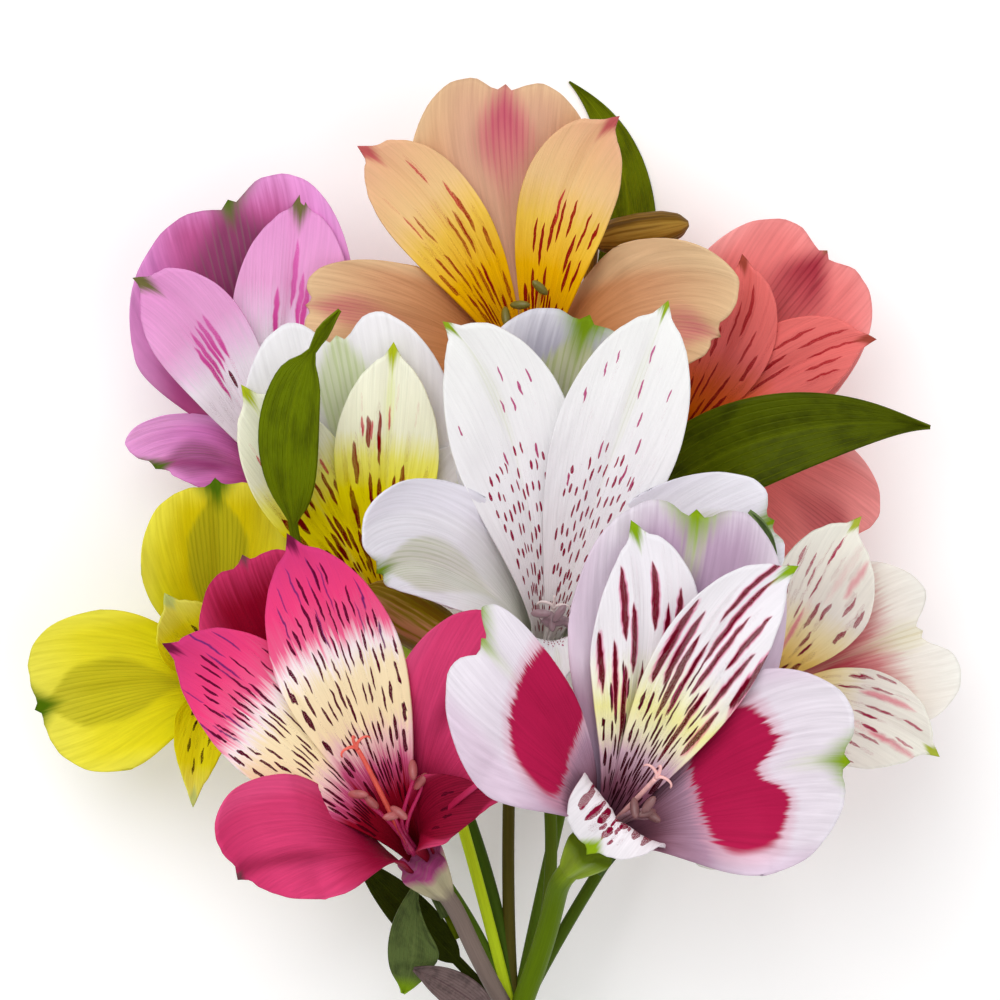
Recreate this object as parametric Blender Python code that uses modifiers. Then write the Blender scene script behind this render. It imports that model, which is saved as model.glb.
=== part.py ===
"""A cut alstroemeria stem, laid down on a surface.

The stem runs along -Y to its cut end. Nine flower rays leave its top at one point, the
umbel's node, and each ends in a ribbed ovary that carries a bloom: three broad outer
tepals, three narrower inner ones, six stamens and a style. Lengths are in millimetres
and places are measured from the umbel's node, which an empty stands at. +Z is up.
"""

from dataclasses import dataclass, replace

import bmesh
import bpy
import numpy as np

MM = 0.001

# The umbel's node over the middle of the box that holds the whole stem
UMBEL_NODE = (3.9, -13.6, 26.0)
# How far the surface that the stem lies on is below the node
SURFACE = -26.0

# Stem, rays and ovaries
STEM_RADIUS = 3.2
CUT_END_RADIUS = 3.6
STEM_SIDES = 8
RAY_RADIUS = 1.1
RAY_SIDES = 6
OVARY_LENGTH = 10.0
SEAT_GAP = 0.3

# Tepals
TEPAL_THICKNESS = 0.65
TEPAL_ROWS = 5
OUTER_COLUMNS = 6
INNER_COLUMNS = 4
RECEPTACLE_RADIUS = 3.3
RECEPTACLE_HEIGHT = 2.4

# Stamens and style
FILAMENT_RADIUS = 0.45
ANTHER_RADIUS = 0.95
ANTHER_LENGTH = 5.0
STAMEN_BASE_RADIUS = 1.2
STAMEN_REACH = 19.0

# Leaves
LEAF_THICKNESS = 0.7
PETIOLE_HALF_WIDTH = 0.9


@dataclass
class Form:
    """The flat outline and the curl of one kind of tepal, as shares of its length or in mm."""

    claw: float
    root: float
    shoulder: float
    side_power: float
    apex_power: float
    notch: float
    point: float
    belly: float
    ruffle: float


OUTER = Form(1.4, 2.9, 0.6, 2.5, 2.4, 0.06, 1.6, 0.25, 0.9)
NOTCHED = replace(OUTER, notch=0.11)
DEEP_NOTCHED = replace(OUTER, notch=0.16)
INNER = Form(1.1, 1.9, 0.66, 1.7, 1.9, 0.0, 2.4, 0.35, 0.4)
WEDGE = replace(INNER, shoulder=0.74, side_power=2.0, apex_power=2.0)
SMOOTH = replace(OUTER, notch=0.02)
LOWER = Form(1.1, 1.9, 0.56, 1.25, 1.3, 0.0, 2.0, 0.5, 0.3)
BROAD = replace(NOTCHED, shoulder=0.72)
LIP = replace(LOWER, shoulder=0.55, side_power=2.0, apex_power=1.6)

NOTCH_WIDTH = 0.25
CLAW_CURL = 0.6
CLAW_REACH = 0.26
THROAT_DEPTH = 15.0


@dataclass
class Tepal:
    """One tepal: where its tip is, half its width, and how the blade bows and sways.

    faced_up says how far the blade twists on its claw to look up: 0 as it grows, 1 all the way.
    skew slants the tip edge, and lean widens one side of the blade and narrows the other.
    """

    form: Form
    tip: tuple
    half_width: float
    faced_up: float = 0.8
    lift: float = 6.0
    sway: float = 0.0
    skew: float = 0.0
    lean: float = 0.0


@dataclass
class Bloom:
    """One bloom: its seat on the ovary, the way it faces, its ray's first bend and its tepals."""

    name: str
    colour: tuple
    seat: tuple
    facing: tuple
    ray_bend: tuple
    stamen_droop: tuple
    tepals: list
    ray_radius: float = RAY_RADIUS
    stamen_reach: float = STAMEN_REACH
    ovary_radius: float = 3.4


CRIMSON = Bloom(
    "crimson", (0.72, 0.05, 0.18), (-16.5, 28, 16), (-0.42, 0.62, 0.66), (-9, 14, 6), (0.5, -0.2, 0.8),
    [
        Tepal(SMOOTH, (-46.5, 80.5, 25), 14.5, sway=4, skew=-0.15),
        Tepal(INNER, (-59.5, 65.5, 32), 10.5, sway=-3.5, skew=-0.25),
        Tepal(INNER, (-38.5, 84, 34), 11.2, sway=-2.5),
        Tepal(SMOOTH, (-45.5, 27, 44), 11.5, sway=-6, skew=-0.35, lean=-0.15),
        Tepal(SMOOTH, (0, 69.5, 34), 12),
        Tepal(LOWER, (-1.5, 39.5, 32), 6.5),
    ],
    1.5, ovary_radius=4.2,
)
MAGENTA = Bloom(
    "magenta", (0.86, 0.78, 0.84), (14, 32, 28), (0.44, 0.54, 0.72), (9, 22, 14), (0.3, -0.3, 0.9),
    [
        Tepal(OUTER, (30.5, 88.3, 42), 18.5, sway=-3, skew=0.12),
        Tepal(INNER, (19.5, 86, 48), 9.5, sway=-7, skew=-0.15),
        Tepal(INNER, (47, 78.8, 49), 8.7, lift=8, sway=8, skew=0.15),
        Tepal(BROAD, (-5.4, 67, 52), 12.2, sway=3, skew=-0.45, lean=0.42),
        Tepal(OUTER, (55.2, 46.5, 51), 17, lift=3, sway=6, skew=0.08),
        Tepal(LIP, (11.8, 30.3, 41), 9.8, 0.0, lift=15, skew=-0.2),
    ],
    1.9, ovary_radius=4.3,
)
WHITE = Bloom(
    "white", (0.9, 0.9, 0.88), (5.5, 63, 6), (0.1, 0.66, 0.74), (12, 22, -2), (0.1, -0.4, 0.9),
    [
        Tepal(SMOOTH, (13, 121.8, 17), 18.5, lift=2, sway=5),
        Tepal(INNER, (-12, 120, 28), 11, sway=-10, skew=-0.1),
        Tepal(INNER, (26, 123.6, 28), 11),
        Tepal(OUTER, (-23, 77.5, 33), 10.5, sway=-10, skew=-0.3, lean=-0.4),
        Tepal(OUTER, (44, 86.5, 30), 13),
        Tepal(LOWER, (7.5, 58, 34), 6.5),
    ],
)
CREAM = Bloom(
    "cream", (0.88, 0.84, 0.5), (-21.5, 67.5, -6), (-0.25, 0.6, 0.76), (-8.5, 33, -6), (0.1, -0.4, 0.9),
    [
        Tepal(NOTCHED, (-31, 118.5, 11), 18.5, sway=-1, skew=0.07),
        Tepal(INNER, (-47, 109.5, 14), 9),
        Tepal(INNER, (-21, 117, 16), 9.3, sway=-1),
        Tepal(OUTER, (-38, 86, 4), 6),
        Tepal(OUTER, (-3, 96, 10), 10),
        Tepal(LOWER, (-20.5, 62, 9), 5.5),
    ],
    stamen_reach=13.0,
)
PEACH = Bloom(
    "peach", (0.87, 0.6, 0.3), (3, 108.5, -13.5), (0.0, 0.7, 0.71), (-3.5, 40, -16), (0.1, -0.4, 0.9),
    [
        Tepal(OUTER, (-1.5, 163, 0), 17, sway=3, skew=-0.03, lean=0.06),
        Tepal(WEDGE, (-27, 151.5, 6), 8.5, sway=-6),
        Tepal(WEDGE, (18, 156.5, 6), 8.4, sway=8),
        Tepal(OUTER, (-36.3, 124, 6), 10),
        Tepal(OUTER, (35.3, 118.5, 8), 12, sway=6, skew=0.17, lean=0.28),
        Tepal(LOWER, (5.5, 99, 6), 5.5),
    ],
)
MAUVE = Bloom(
    "mauve", (0.75, 0.4, 0.7), (-39.5, 92, -14.9), (-0.35, 0.45, 0.82), (-2, 36, -14), (-0.6, 0.2, 0.5),
    [
        Tepal(OUTER, (-50.5, 143, -2), 20.5, sway=-2, skew=-0.2, lean=0.05),
        Tepal(WEDGE, (-66.5, 128.5, 6), 8.5, sway=-8),
        Tepal(INNER, (-37.5, 143.8, 1), 10.4, 1.0, sway=-3),
        Tepal(OUTER, (-63.5, 95.5, -8), 7.2, lift=4, sway=-3, skew=-0.85, lean=-0.15),
        Tepal(OUTER, (-10.5, 95.5, -2), 7),
        Tepal(LOWER, (-40.5, 86, 2), 4.5),
    ],
    stamen_reach=13.0,
)
CORAL = Bloom(
    "coral", (0.85, 0.3, 0.26), (27, 97, -15), (0.3, 0.5, 0.81), (8, 36, -16), (0.1, -0.4, 0.9),
    [
        Tepal(OUTER, (55.3, 134, -4), 17),
        Tepal(INNER, (39.8, 132.7, 4), 8, sway=-6),
        Tepal(INNER, (63, 118, 4), 8, sway=5),
        Tepal(OUTER, (12.5, 103, 2), 8),
        Tepal(OUTER, (60.5, 82, -4), 13),
        Tepal(LOWER, (36, 90, 4), 5),
    ],
    stamen_reach=14.5,
)
YELLOW = Bloom(
    "yellow", (0.78, 0.74, 0.08), (-48.5, 56, -10), (-0.35, 0.35, 0.87), (-10, 31, -8), (0.1, -0.4, 0.9),
    [
        Tepal(SMOOTH, (-52.5, 93.8, 1.5), 13.5, sway=-2),
        Tepal(INNER, (-61, 73.5, 6), 7),
        Tepal(INNER, (-43, 74, 2), 7),
        Tepal(SMOOTH, (-85.2, 52.7, -8), 14.5, skew=-0.08),
        Tepal(OUTER, (-28, 50, 4), 10),
        Tepal(LOWER, (-56, 36.5, 8), 5.5),
    ],
)
BLUSH = Bloom(
    "blush", (0.86, 0.8, 0.74), (41.5, 55, -10), (0.5, 0.35, 0.79), (12, 22, -8), (0.1, -0.4, 0.9),
    [
        Tepal(DEEP_NOTCHED, (72, 67, 0), 15.8, skew=-0.15),
        Tepal(INNER, (60.3, 86.8, 8), 9.4, sway=4, skew=0.1, lean=-0.15),
        Tepal(INNER, (73.5, 45.7, 10), 9, sway=2, lean=-0.15),
        Tepal(OUTER, (37, 76, 4), 9),
        Tepal(OUTER, (29, 28.5, 12), 11),
        Tepal(LOWER, (31, 50, 12), 6),
    ],
    stamen_reach=13.0,
)
BLOOMS = [CRIMSON, MAGENTA, WHITE, CREAM, PEACH, MAUVE, CORAL, YELLOW, BLUSH]


@dataclass
class Leaf:
    """One leaf: its root, two handles and tip, half its width, the way it faces, its stalk's share.

    peak above 1 moves the widest place towards the tip, and neck narrows the blade near its tip.
    """

    name: str
    colour: tuple
    root: tuple
    handles: tuple
    tip: tuple
    half_width: float
    facing: tuple = (0, 0, 1)
    stalk: float = 0.25
    fold: float = 0.25
    peak: float = 0.75
    neck: float = 0.0


LEAVES = [
    Leaf(
        "leaf_top_right", (0.16, 0.36, 0.05), (4.3, 88, -22.5), ((17, 112, -28), (31, 148, -28)),
        (10, 165.5, -26), 5.6, fold=0,
    ),
    Leaf(
        "leaf_left", (0.14, 0.32, 0.04), (-9.5, 13.3, 2.6), ((-34, 60, 2), (-50, 99, 22)),
        (-30, 122.5, 20), 6.0, stalk=0.68, neck=0.75,
    ),
    Leaf(
        "leaf_right", (0.08, 0.26, 0.05), (19.4, 77.5, -22.5), ((20, 95, 14), (48, 106.5, 14)),
        (72, 102.5, 12), 8,
    ),
    Leaf(
        "leaf_bottom_dark", (0.06, 0.18, 0.04), (-4.6, 3.1, -1.7), ((-9, 8, -1), (-18, 17, -2)),
        (-28, 27, -2), 3.6,
    ),
    Leaf(
        "leaf_bottom_grey", (0.25, 0.35, 0.2), (-12, 17, 4), ((-20, 34, 5), (-15, 14, 8)),
        (-19.5, 3.5, 1), 4.7, peak=1.2,
    ),
    Leaf(
        "leaf_curl", (0.1, 0.24, 0.05), (14.2, 25.9, 21.6), ((34, 50, 18), (52, 78, 35)),
        (39.5, 88, 35), 1.2, stalk=0.85,
    ),
    Leaf(
        "bract_purple", (0.3, 0.22, 0.25), (-1.2, -2.8, 3.6), ((-6, 2, 9), (-11, 6, 8)),
        (-17.5, 8, 5), 3.2,
    ),
]


@dataclass
class Bud:
    """A closed bud on its own short stalk: root, handle, base of the bud and tip."""

    name: str
    colour: tuple
    root: tuple
    handle: tuple
    base: tuple
    tip: tuple
    radius: float


BUDS = [
    Bud("bud_top", (0.36, 0.3, 0.12), (3.6, 86, -20.6), (13, 112, -18), (14, 136, -12), (31, 139, -10), 3.3),
    Bud("bud_middle", (0.4, 0.3, 0.16), (3.3, 46.4, -2.9), (-2, 58, 12), (-9, 64, 17), (-26, 74.5, 18), 4.6),
]

STEM_PATH = [(0, 0, 0), (0.5, -30, -5), (-2, -70, -13), (0, -110, -19), (1, -138, -23)]


def unit(vector):
    vector = np.asarray(vector, float)
    return vector / np.linalg.norm(vector)


def bezier(points, t):
    """Points of the cubic Bezier curve through four control points."""
    a, b, c, d = (np.asarray(point, float) for point in points)
    t = np.asarray(t)[:, None]
    return (1 - t) ** 3 * a + 3 * (1 - t) ** 2 * t * b + 3 * (1 - t) * t**2 * c + t**3 * d


def smooth_path(points, count):
    """Evenly spaced points of a Catmull-Rom curve through the given ones."""
    points = np.asarray(points, float)
    ends = np.vstack([2 * points[0] - points[1], points, 2 * points[-1] - points[-2]])
    curve = []
    for a, b, c, d in zip(ends, ends[1:], ends[2:], ends[3:]):
        curve.append(bezier([b, b + (c - a) / 6, c - (d - b) / 6, c], np.linspace(0, 1, 20)[:-1]))
    curve = np.vstack(curve + [points[-1:]])
    return resample(curve, np.linspace(0, 1, count))


def lengths_along(curve):
    return np.concatenate([[0], np.cumsum(np.linalg.norm(np.diff(curve, axis=0), axis=1))])


def resample(curve, shares):
    """The curve's points at these shares of its length."""
    along = lengths_along(curve)
    return np.stack([np.interp(shares * along[-1], along, curve[:, i]) for i in range(3)], axis=-1)


def directions(curve):
    step = np.gradient(curve, axis=0)
    return step / np.linalg.norm(step, axis=1)[:, None]


def bloom_frame(bloom, tepal):
    """(seat, facing, outward, sideways) of a tepal, with outward away from the bloom's axis."""
    seat = np.asarray(bloom.seat, float)
    facing = unit(bloom.facing)
    reach = np.asarray(tepal.tip, float) - seat
    outward = unit(reach - facing * (reach @ facing))
    return seat, facing, outward, np.cross(facing, outward)


def midrib(bloom, tepal):
    """The tepal's middle line from the receptacle to the tip."""
    seat, facing, outward, sideways = bloom_frame(bloom, tepal)
    tip = np.asarray(tepal.tip, float)
    root = seat + outward * tepal.form.root
    throat = root + facing * THROAT_DEPTH + outward * tepal.form.root * 0.6
    bow = root + (tip - root) * 0.66 + facing * tepal.lift + sideways * tepal.sway
    return bezier([root, throat, bow, tip], np.linspace(0, 1, 80))


def flat_outline(form, half_width, length, u, v):
    """Where a point u along a vein and v across lies on the flattened tepal: along and across."""
    widening = np.sin(np.pi / 2 * u**1.35)
    half = form.claw + (half_width - form.claw) * widening
    crown = (1 - np.abs(v) ** form.side_power) ** (1 / form.apex_power)
    edge = form.shoulder + (1 - form.shoulder) * crown
    edge = edge - form.notch * np.exp(-((v / NOTCH_WIDTH) ** 2))
    point = form.point / length * np.clip(1 - np.abs(v) * half_width / 1.6, 0, 1) ** 1.3
    return (u * edge + point * u**6) * length, v * half


def tepal_surface(bloom, tepal, rows, columns):
    """Grid of points over the tepal's middle surface, from the receptacle to the tip."""
    form = tepal.form
    line = midrib(bloom, tepal)
    reach = lengths_along(line)[-1]
    length = reach / (1 - form.notch + form.point / reach)
    line = np.vstack([line, line[-1] + (line[-1] - line[-2]) * 30])
    tangents = directions(line)
    along = lengths_along(line)
    sideways = bloom_frame(bloom, tepal)[3]
    u = np.linspace(0, 1, rows + 1)
    v = np.sin(np.linspace(-np.pi / 2, np.pi / 2, columns + 1))
    u, v = np.meshgrid(u, v, indexing="ij")
    s, w = flat_outline(form, tepal.half_width, length, u, v)
    w = w * (1 + tepal.lean * np.sign(v))
    s = s + tepal.skew * w * u**2
    centre = np.stack([np.interp(s, along, line[:, i]) for i in range(3)], axis=-1)
    forward = np.stack([np.interp(s, along, tangents[:, i]) for i in range(3)], axis=-1)
    forward /= np.linalg.norm(forward, axis=-1, keepdims=True)
    side = sideways - forward * (forward @ sideways)[..., None]
    side /= np.linalg.norm(side, axis=-1, keepdims=True)
    inner = np.cross(forward, side)
    share = s / length
    forward_there = tangents[np.searchsorted(along, 0.65 * reach)]
    turn = blade_turn(tepal, forward_there, sideways) * np.clip((share - 0.1) / 0.5, 0, 1)[..., None]
    side, inner = side * np.cos(turn) + inner * np.sin(turn), inner * np.cos(turn) - side * np.sin(turn)
    return centre + curled(form, tepal.half_width, share, w, side, inner)


def blade_turn(tepal, forward, sideways):
    """The angle that the blade twists on its claw, given its direction at the widest place."""
    side = unit(sideways - forward * (forward @ sideways))
    inner = np.cross(forward, side)
    return tepal.faced_up * np.arctan2(-side[2], inner[2])


def curled(form, half_width, share, w, side, inner):
    """Offsets from the midrib: a rolled claw, a shallow belly above it and a waved edge."""
    curl = CLAW_CURL * np.exp(-((share / CLAW_REACH) ** 2)) + form.belly * np.clip(share * 2, 0, 1)
    half = form.claw + (half_width - form.claw) * np.clip(share / form.shoulder, 0, 1)
    bend = curl / half
    out = np.sin(bend * w) / bend
    up = (1 - np.cos(bend * w)) / bend
    edge = np.abs(w) / half_width
    wave = form.ruffle * edge**2.5 * np.sin(9 * share + 1.3 * np.sign(w)) * np.clip(1.6 * share - 0.3, 0, 1)
    return side * out[..., None] + inner * (up + wave)[..., None]


def grid_mesh(name, points):
    """An open sheet of triangles over a grid of points."""
    rows, columns = points.shape[:2]
    index = np.arange(rows * columns).reshape(rows, columns)
    a, b = index[:-1, :-1].ravel(), index[:-1, 1:].ravel()
    c, d = index[1:, 1:].ravel(), index[1:, :-1].ravel()
    faces = np.concatenate([np.stack([a, b, c], 1), np.stack([a, c, d], 1)])
    mesh = bpy.data.meshes.new(name)
    mesh.from_pydata((points.reshape(-1, 3) * MM).tolist(), [], faces.tolist())
    return mesh


def sheet(name, points, thickness):
    """A thin closed blade over a grid of points."""
    blade = add_object(name, grid_mesh(name, points))
    solidify = blade.modifiers.new("thickness", "SOLIDIFY")
    solidify.thickness = thickness * MM
    solidify.offset = 0
    return blade


def loft(name, path, radii, sides):
    """A closed round body along a path, with a radius at each point, flat where it lies on the surface."""
    path = np.asarray(path, float)
    tangents = directions(path)
    side = unit(np.cross(tangents[0], (0.31, 0.23, 0.92)))
    rings = []
    for centre, forward, radius in zip(path, tangents, radii):
        side = unit(side - forward * (side @ forward))
        other = np.cross(forward, side)
        angles = np.arange(sides) * 2 * np.pi / sides
        rings.append(centre + radius * (np.outer(np.cos(angles), side) + np.outer(np.sin(angles), other)))
    points = np.vstack(rings)
    points[:, 2] = np.maximum(points[:, 2], SURFACE)
    faces = []
    for ring in range(len(path) - 1):
        for i in range(sides):
            j = (i + 1) % sides
            first, last = ring * sides, (ring + 1) * sides
            faces.append((first + i, first + j, last + j, last + i))
    faces.append(tuple(range(sides - 1, -1, -1)))
    faces.append(tuple(range(len(points) - sides, len(points))))
    mesh = bpy.data.meshes.new(name)
    mesh.from_pydata((points * MM).tolist(), [], faces)
    return add_object(name, mesh)


def add_object(name, mesh):
    thing = bpy.data.objects.new(name, mesh)
    PLANT.objects.link(thing)
    return thing


def fuse(name, pieces):
    """Joins closed pieces that overlap into one body."""
    first = pieces[0]
    others = bpy.data.collections.new(name + "_pieces")
    bpy.context.scene.collection.children.link(others)
    for piece in pieces[1:]:
        PLANT.objects.unlink(piece)
        others.objects.link(piece)
    join = first.modifiers.new("join", "BOOLEAN")
    join.operation = "UNION"
    join.operand_type = "COLLECTION"
    join.collection = others
    join.solver = "MANIFOLD"
    graph = bpy.context.evaluated_depsgraph_get()
    joined = bpy.data.meshes.new_from_object(first.evaluated_get(graph))
    for piece in pieces:
        bpy.data.objects.remove(piece)
    bpy.data.collections.remove(others)
    drop_scraps(joined)
    return add_object(name, joined)


def drop_scraps(mesh):
    """Keeps the largest connected body of a mesh."""
    body = bmesh.new()
    body.from_mesh(mesh)
    islands = []
    left = set(body.verts)
    while left:
        island, edge = set(), {left.pop()}
        while edge:
            island |= edge
            edge = {e.other_vert(v) for v in edge for e in v.link_edges} - island
        left -= island
        islands.append(island)
    islands.sort(key=len)
    scraps = [vertex for island in islands[:-1] for vertex in island]
    bmesh.ops.delete(body, geom=scraps, context="VERTS")
    body.to_mesh(mesh)
    body.free()


def finish(thing, name, colour, roughness=0.5):
    """Names a part, gives it its material and stands it at the umbel's node."""
    thing.name = name
    material = bpy.data.materials.new(name)
    material.use_nodes = True
    shader = material.node_tree.nodes["Principled BSDF"]
    shader.inputs["Base Color"].default_value = (*colour, 1)
    shader.inputs["Roughness"].default_value = roughness
    thing.data.materials.clear()
    thing.data.materials.append(material)
    thing.data.shade_smooth()
    thing.data.set_sharp_from_angle(angle=np.radians(50))
    thing.parent = NODE_EMPTY


def make_tepals(bloom):
    """A bloom's six tepals, rooted in one small receptacle."""
    facing = unit(bloom.facing)
    low = np.asarray(bloom.seat, float)
    heights = np.array([0, 0.5, 1.0]) * RECEPTACLE_HEIGHT
    radii = np.array([1.0, 1.0, 0.9]) * RECEPTACLE_RADIUS
    receptacle = loft("receptacle", low + np.outer(heights - 0.5, facing), radii, 12)
    pieces = [receptacle]
    for tepal in bloom.tepals:
        columns = OUTER_COLUMNS if tepal.form.notch else INNER_COLUMNS
        points = tepal_surface(bloom, tepal, TEPAL_ROWS, columns)
        pieces.append(sheet("tepal", points, TEPAL_THICKNESS))
    finish(fuse(bloom.name, pieces), bloom.name + "_tepals", bloom.colour)


def make_ray(bloom):
    """A flower ray from the umbel's node to the bloom, with the ribbed ovary at its end."""
    facing = unit(bloom.facing)
    seat = np.asarray(bloom.seat, float) - facing * (0.5 + SEAT_GAP)
    base = seat - facing * OVARY_LENGTH
    stalk = bezier([(0, -2, 0), bloom.ray_bend, base - facing * 8, base], np.linspace(0, 1, 8))
    ovary = base + np.outer(np.array([0.12, 0.35, 0.65, 0.9, 1.0]) * OVARY_LENGTH, facing)
    swelling = np.array([0.5, 0.66, 0.86, 1.0, 1.0]) * bloom.ovary_radius
    path = np.vstack([stalk, ovary])
    radii = np.concatenate([np.full(len(stalk), bloom.ray_radius), swelling])
    return loft("ray", path, radii, RAY_SIDES)


def make_stem():
    """The stem with its nine flower rays, grown as one piece."""
    path = smooth_path(STEM_PATH, 12)
    radii = np.linspace(STEM_RADIUS, CUT_END_RADIUS, len(path))
    stem = loft("stem", path, radii, STEM_SIDES)
    pieces = [stem] + [make_ray(bloom) for bloom in BLOOMS]
    finish(fuse("stem", pieces), "stem", (0.2, 0.36, 0.1))


def stamen_end(bloom, index):
    """Where a stamen's anther starts: the six spread in a drooping fan in front of the throat."""
    facing = unit(bloom.facing)
    droop = unit(bloom.stamen_droop)
    across = unit(np.cross(facing, droop))
    spread = (index - 2.5) / 2.5
    reach = bloom.stamen_reach + 2 * np.cos(2.1 * index)
    return np.asarray(bloom.seat, float) + unit(facing + 0.25 * droop + 0.24 * spread * across) * reach


def make_stamens(bloom):
    """Six stamens and a three-branched style, rising from the middle of the receptacle."""
    facing = unit(bloom.facing)
    start = np.asarray(bloom.seat, float) + facing * (RECEPTACLE_HEIGHT - 0.5 + SEAT_GAP)
    base = loft("base", start + np.outer([0, 1.5], facing), [STAMEN_BASE_RADIUS] * 2, 6)
    pieces = [base]
    for index in range(6):
        end = stamen_end(bloom, index)
        foot = start + facing * 0.8
        line = bezier([foot, foot + facing * 8, end - facing * 5, end], np.linspace(0, 1, 3))
        lengths = [0.25 * ANTHER_LENGTH, 0.75 * ANTHER_LENGTH, ANTHER_LENGTH]
        anther = end + np.outer(lengths, unit(bloom.stamen_droop))
        radii = [FILAMENT_RADIUS] * 3 + [ANTHER_RADIUS, ANTHER_RADIUS, 0.3]
        pieces.append(loft("stamen", np.vstack([line, anther]), radii, 3))
    finish(fuse(bloom.name + "_stamens", pieces), bloom.name + "_stamens", (0.5, 0.3, 0.25))


def leaf_rows(leaf, rows):
    """Shares of a leaf's length, with a few more of them where it has a long stalk."""
    stalk = np.linspace(0, leaf.stalk, 4 if leaf.stalk > 0.5 else 2, endpoint=False)
    return np.concatenate([stalk, np.linspace(leaf.stalk, 1, rows - 1)])


def leaf_surface(leaf, rows, columns):
    """Grid of points over a leaf: a narrow stalk, then a long blade folded along its rib."""
    line = bezier([leaf.root, *leaf.handles, leaf.tip], np.linspace(0, 1, 80))
    line[:, 2] = np.maximum(line[:, 2], SURFACE + LEAF_THICKNESS / 2)
    shares = leaf_rows(leaf, rows)
    centre = resample(line, shares)
    forward = resample(directions(line), shares)
    forward /= np.linalg.norm(forward, axis=1)[:, None]
    side = np.cross(forward, unit(leaf.facing))
    side /= np.linalg.norm(side, axis=1)[:, None]
    up = np.cross(side, forward)
    blade = np.clip((shares - leaf.stalk) / (1 - leaf.stalk), 0, 1)
    swell = np.sin(np.pi * blade**leaf.peak) ** 0.85
    half = PETIOLE_HALF_WIDTH + (leaf.half_width - PETIOLE_HALF_WIDTH) * swell
    half = half * (1 - 0.8 * shares**12) * (1 - leaf.neck * np.exp(-(((shares - 0.93) / 0.025) ** 2)))
    v = np.linspace(-1, 1, columns + 1)
    width = half[:, None] * v[None, :]
    rise = leaf.fold * np.abs(width) * np.clip(blade * 6, 0, 1)[:, None]
    return centre[:, None] + side[:, None] * width[..., None] + up[:, None] * rise[..., None]


def make_leaf(leaf):
    points = leaf_surface(leaf, 8, 2)
    finish(sheet(leaf.name, points, LEAF_THICKNESS), leaf.name, leaf.colour)


def make_bud(bud):
    """A bud on its stalk, one turned body along a bent line."""
    stalk = bezier([bud.root, bud.handle, bud.base, bud.base], np.linspace(0, 0.96, 5))
    base, tip = np.asarray(bud.base, float), np.asarray(bud.tip, float)
    body = base + np.outer([0.1, 0.25, 0.5, 0.75, 0.92, 1.0], tip - base)
    radii = [1.0] * 5 + list(np.array([0.7, 0.95, 1.0, 0.9, 0.6, 0.15]) * bud.radius)
    finish(loft(bud.name, np.vstack([stalk, body]), radii, 8), bud.name, bud.colour)


def clear_scene():
    for thing in list(bpy.data.objects):
        bpy.data.objects.remove(thing)


clear_scene()
PLANT = bpy.data.collections.new("alstroemeria_stem")
bpy.context.scene.collection.children.link(PLANT)
NODE_EMPTY = bpy.data.objects.new("umbel_node", None)
NODE_EMPTY.location = [value * MM for value in UMBEL_NODE]
PLANT.objects.link(NODE_EMPTY)

make_stem()
for bloom in BLOOMS:
    make_tepals(bloom)
    make_stamens(bloom)
for leaf in LEAVES:
    make_leaf(leaf)
for bud in BUDS:
    make_bud(bud)
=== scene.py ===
"""Looks of the cut alstroemeria stem.

Every solid is replaced by a finer piece made from the same numbers: blades with many more
rows, drawn streaks and veins, ribbed ovaries, filaments with anthers. Lengths are in
millimetres and places are measured from the umbel's node, apart from the studio, which is
in metres. Colours are 0 to 255.
"""

from dataclasses import dataclass, replace

import bpy
import numpy as np
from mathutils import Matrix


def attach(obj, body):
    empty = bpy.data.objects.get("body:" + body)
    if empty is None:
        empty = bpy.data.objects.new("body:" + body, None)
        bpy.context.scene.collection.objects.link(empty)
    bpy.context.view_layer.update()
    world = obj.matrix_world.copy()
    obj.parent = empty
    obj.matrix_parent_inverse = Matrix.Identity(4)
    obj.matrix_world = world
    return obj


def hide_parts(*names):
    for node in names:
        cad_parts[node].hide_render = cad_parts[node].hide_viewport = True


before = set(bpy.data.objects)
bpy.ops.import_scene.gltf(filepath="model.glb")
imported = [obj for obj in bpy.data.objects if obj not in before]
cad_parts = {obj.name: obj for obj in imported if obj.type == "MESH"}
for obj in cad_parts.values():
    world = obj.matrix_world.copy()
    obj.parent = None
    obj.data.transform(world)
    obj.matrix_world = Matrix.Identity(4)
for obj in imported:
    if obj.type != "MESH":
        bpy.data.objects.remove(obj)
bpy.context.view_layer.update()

MM = 0.001
UMBEL_NODE = np.array((3.9, -13.6, 26.0))
SURFACE = -26.0

# Camera: straight above the blooms, as the photograph sees them
CAMERA_OVER_NODE = (-2.5, 89.9, 878.0)
LENS = 180

# Blades
MIDRIB_STEPS = 80
ROWS = 56
COLUMNS = 44
PETAL_THICKNESS = 0.4
LEAF_STEPS = 200
LEAF_ROWS = 70
LEAF_COLUMNS = 20
LEAF_THICKNESS = 0.45
CLAW_CURL = 0.6
CLAW_REACH = 0.26
THROAT_DEPTH = 15.0
NOTCH_WIDTH = 0.25
# How the veins spread out, for the outline and for the streaks that lie along them
VEIN_SPREAD = 1.35
# Waves of veins and ribs over a whole blade or round a body, in radians
SHIELD_RIBS = 190.0
LEAF_VEINS = 75.0
SIX_TURNS = 37.7
THREE_TURNS = 18.85
QUARTER_TURN = 1.57

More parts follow.
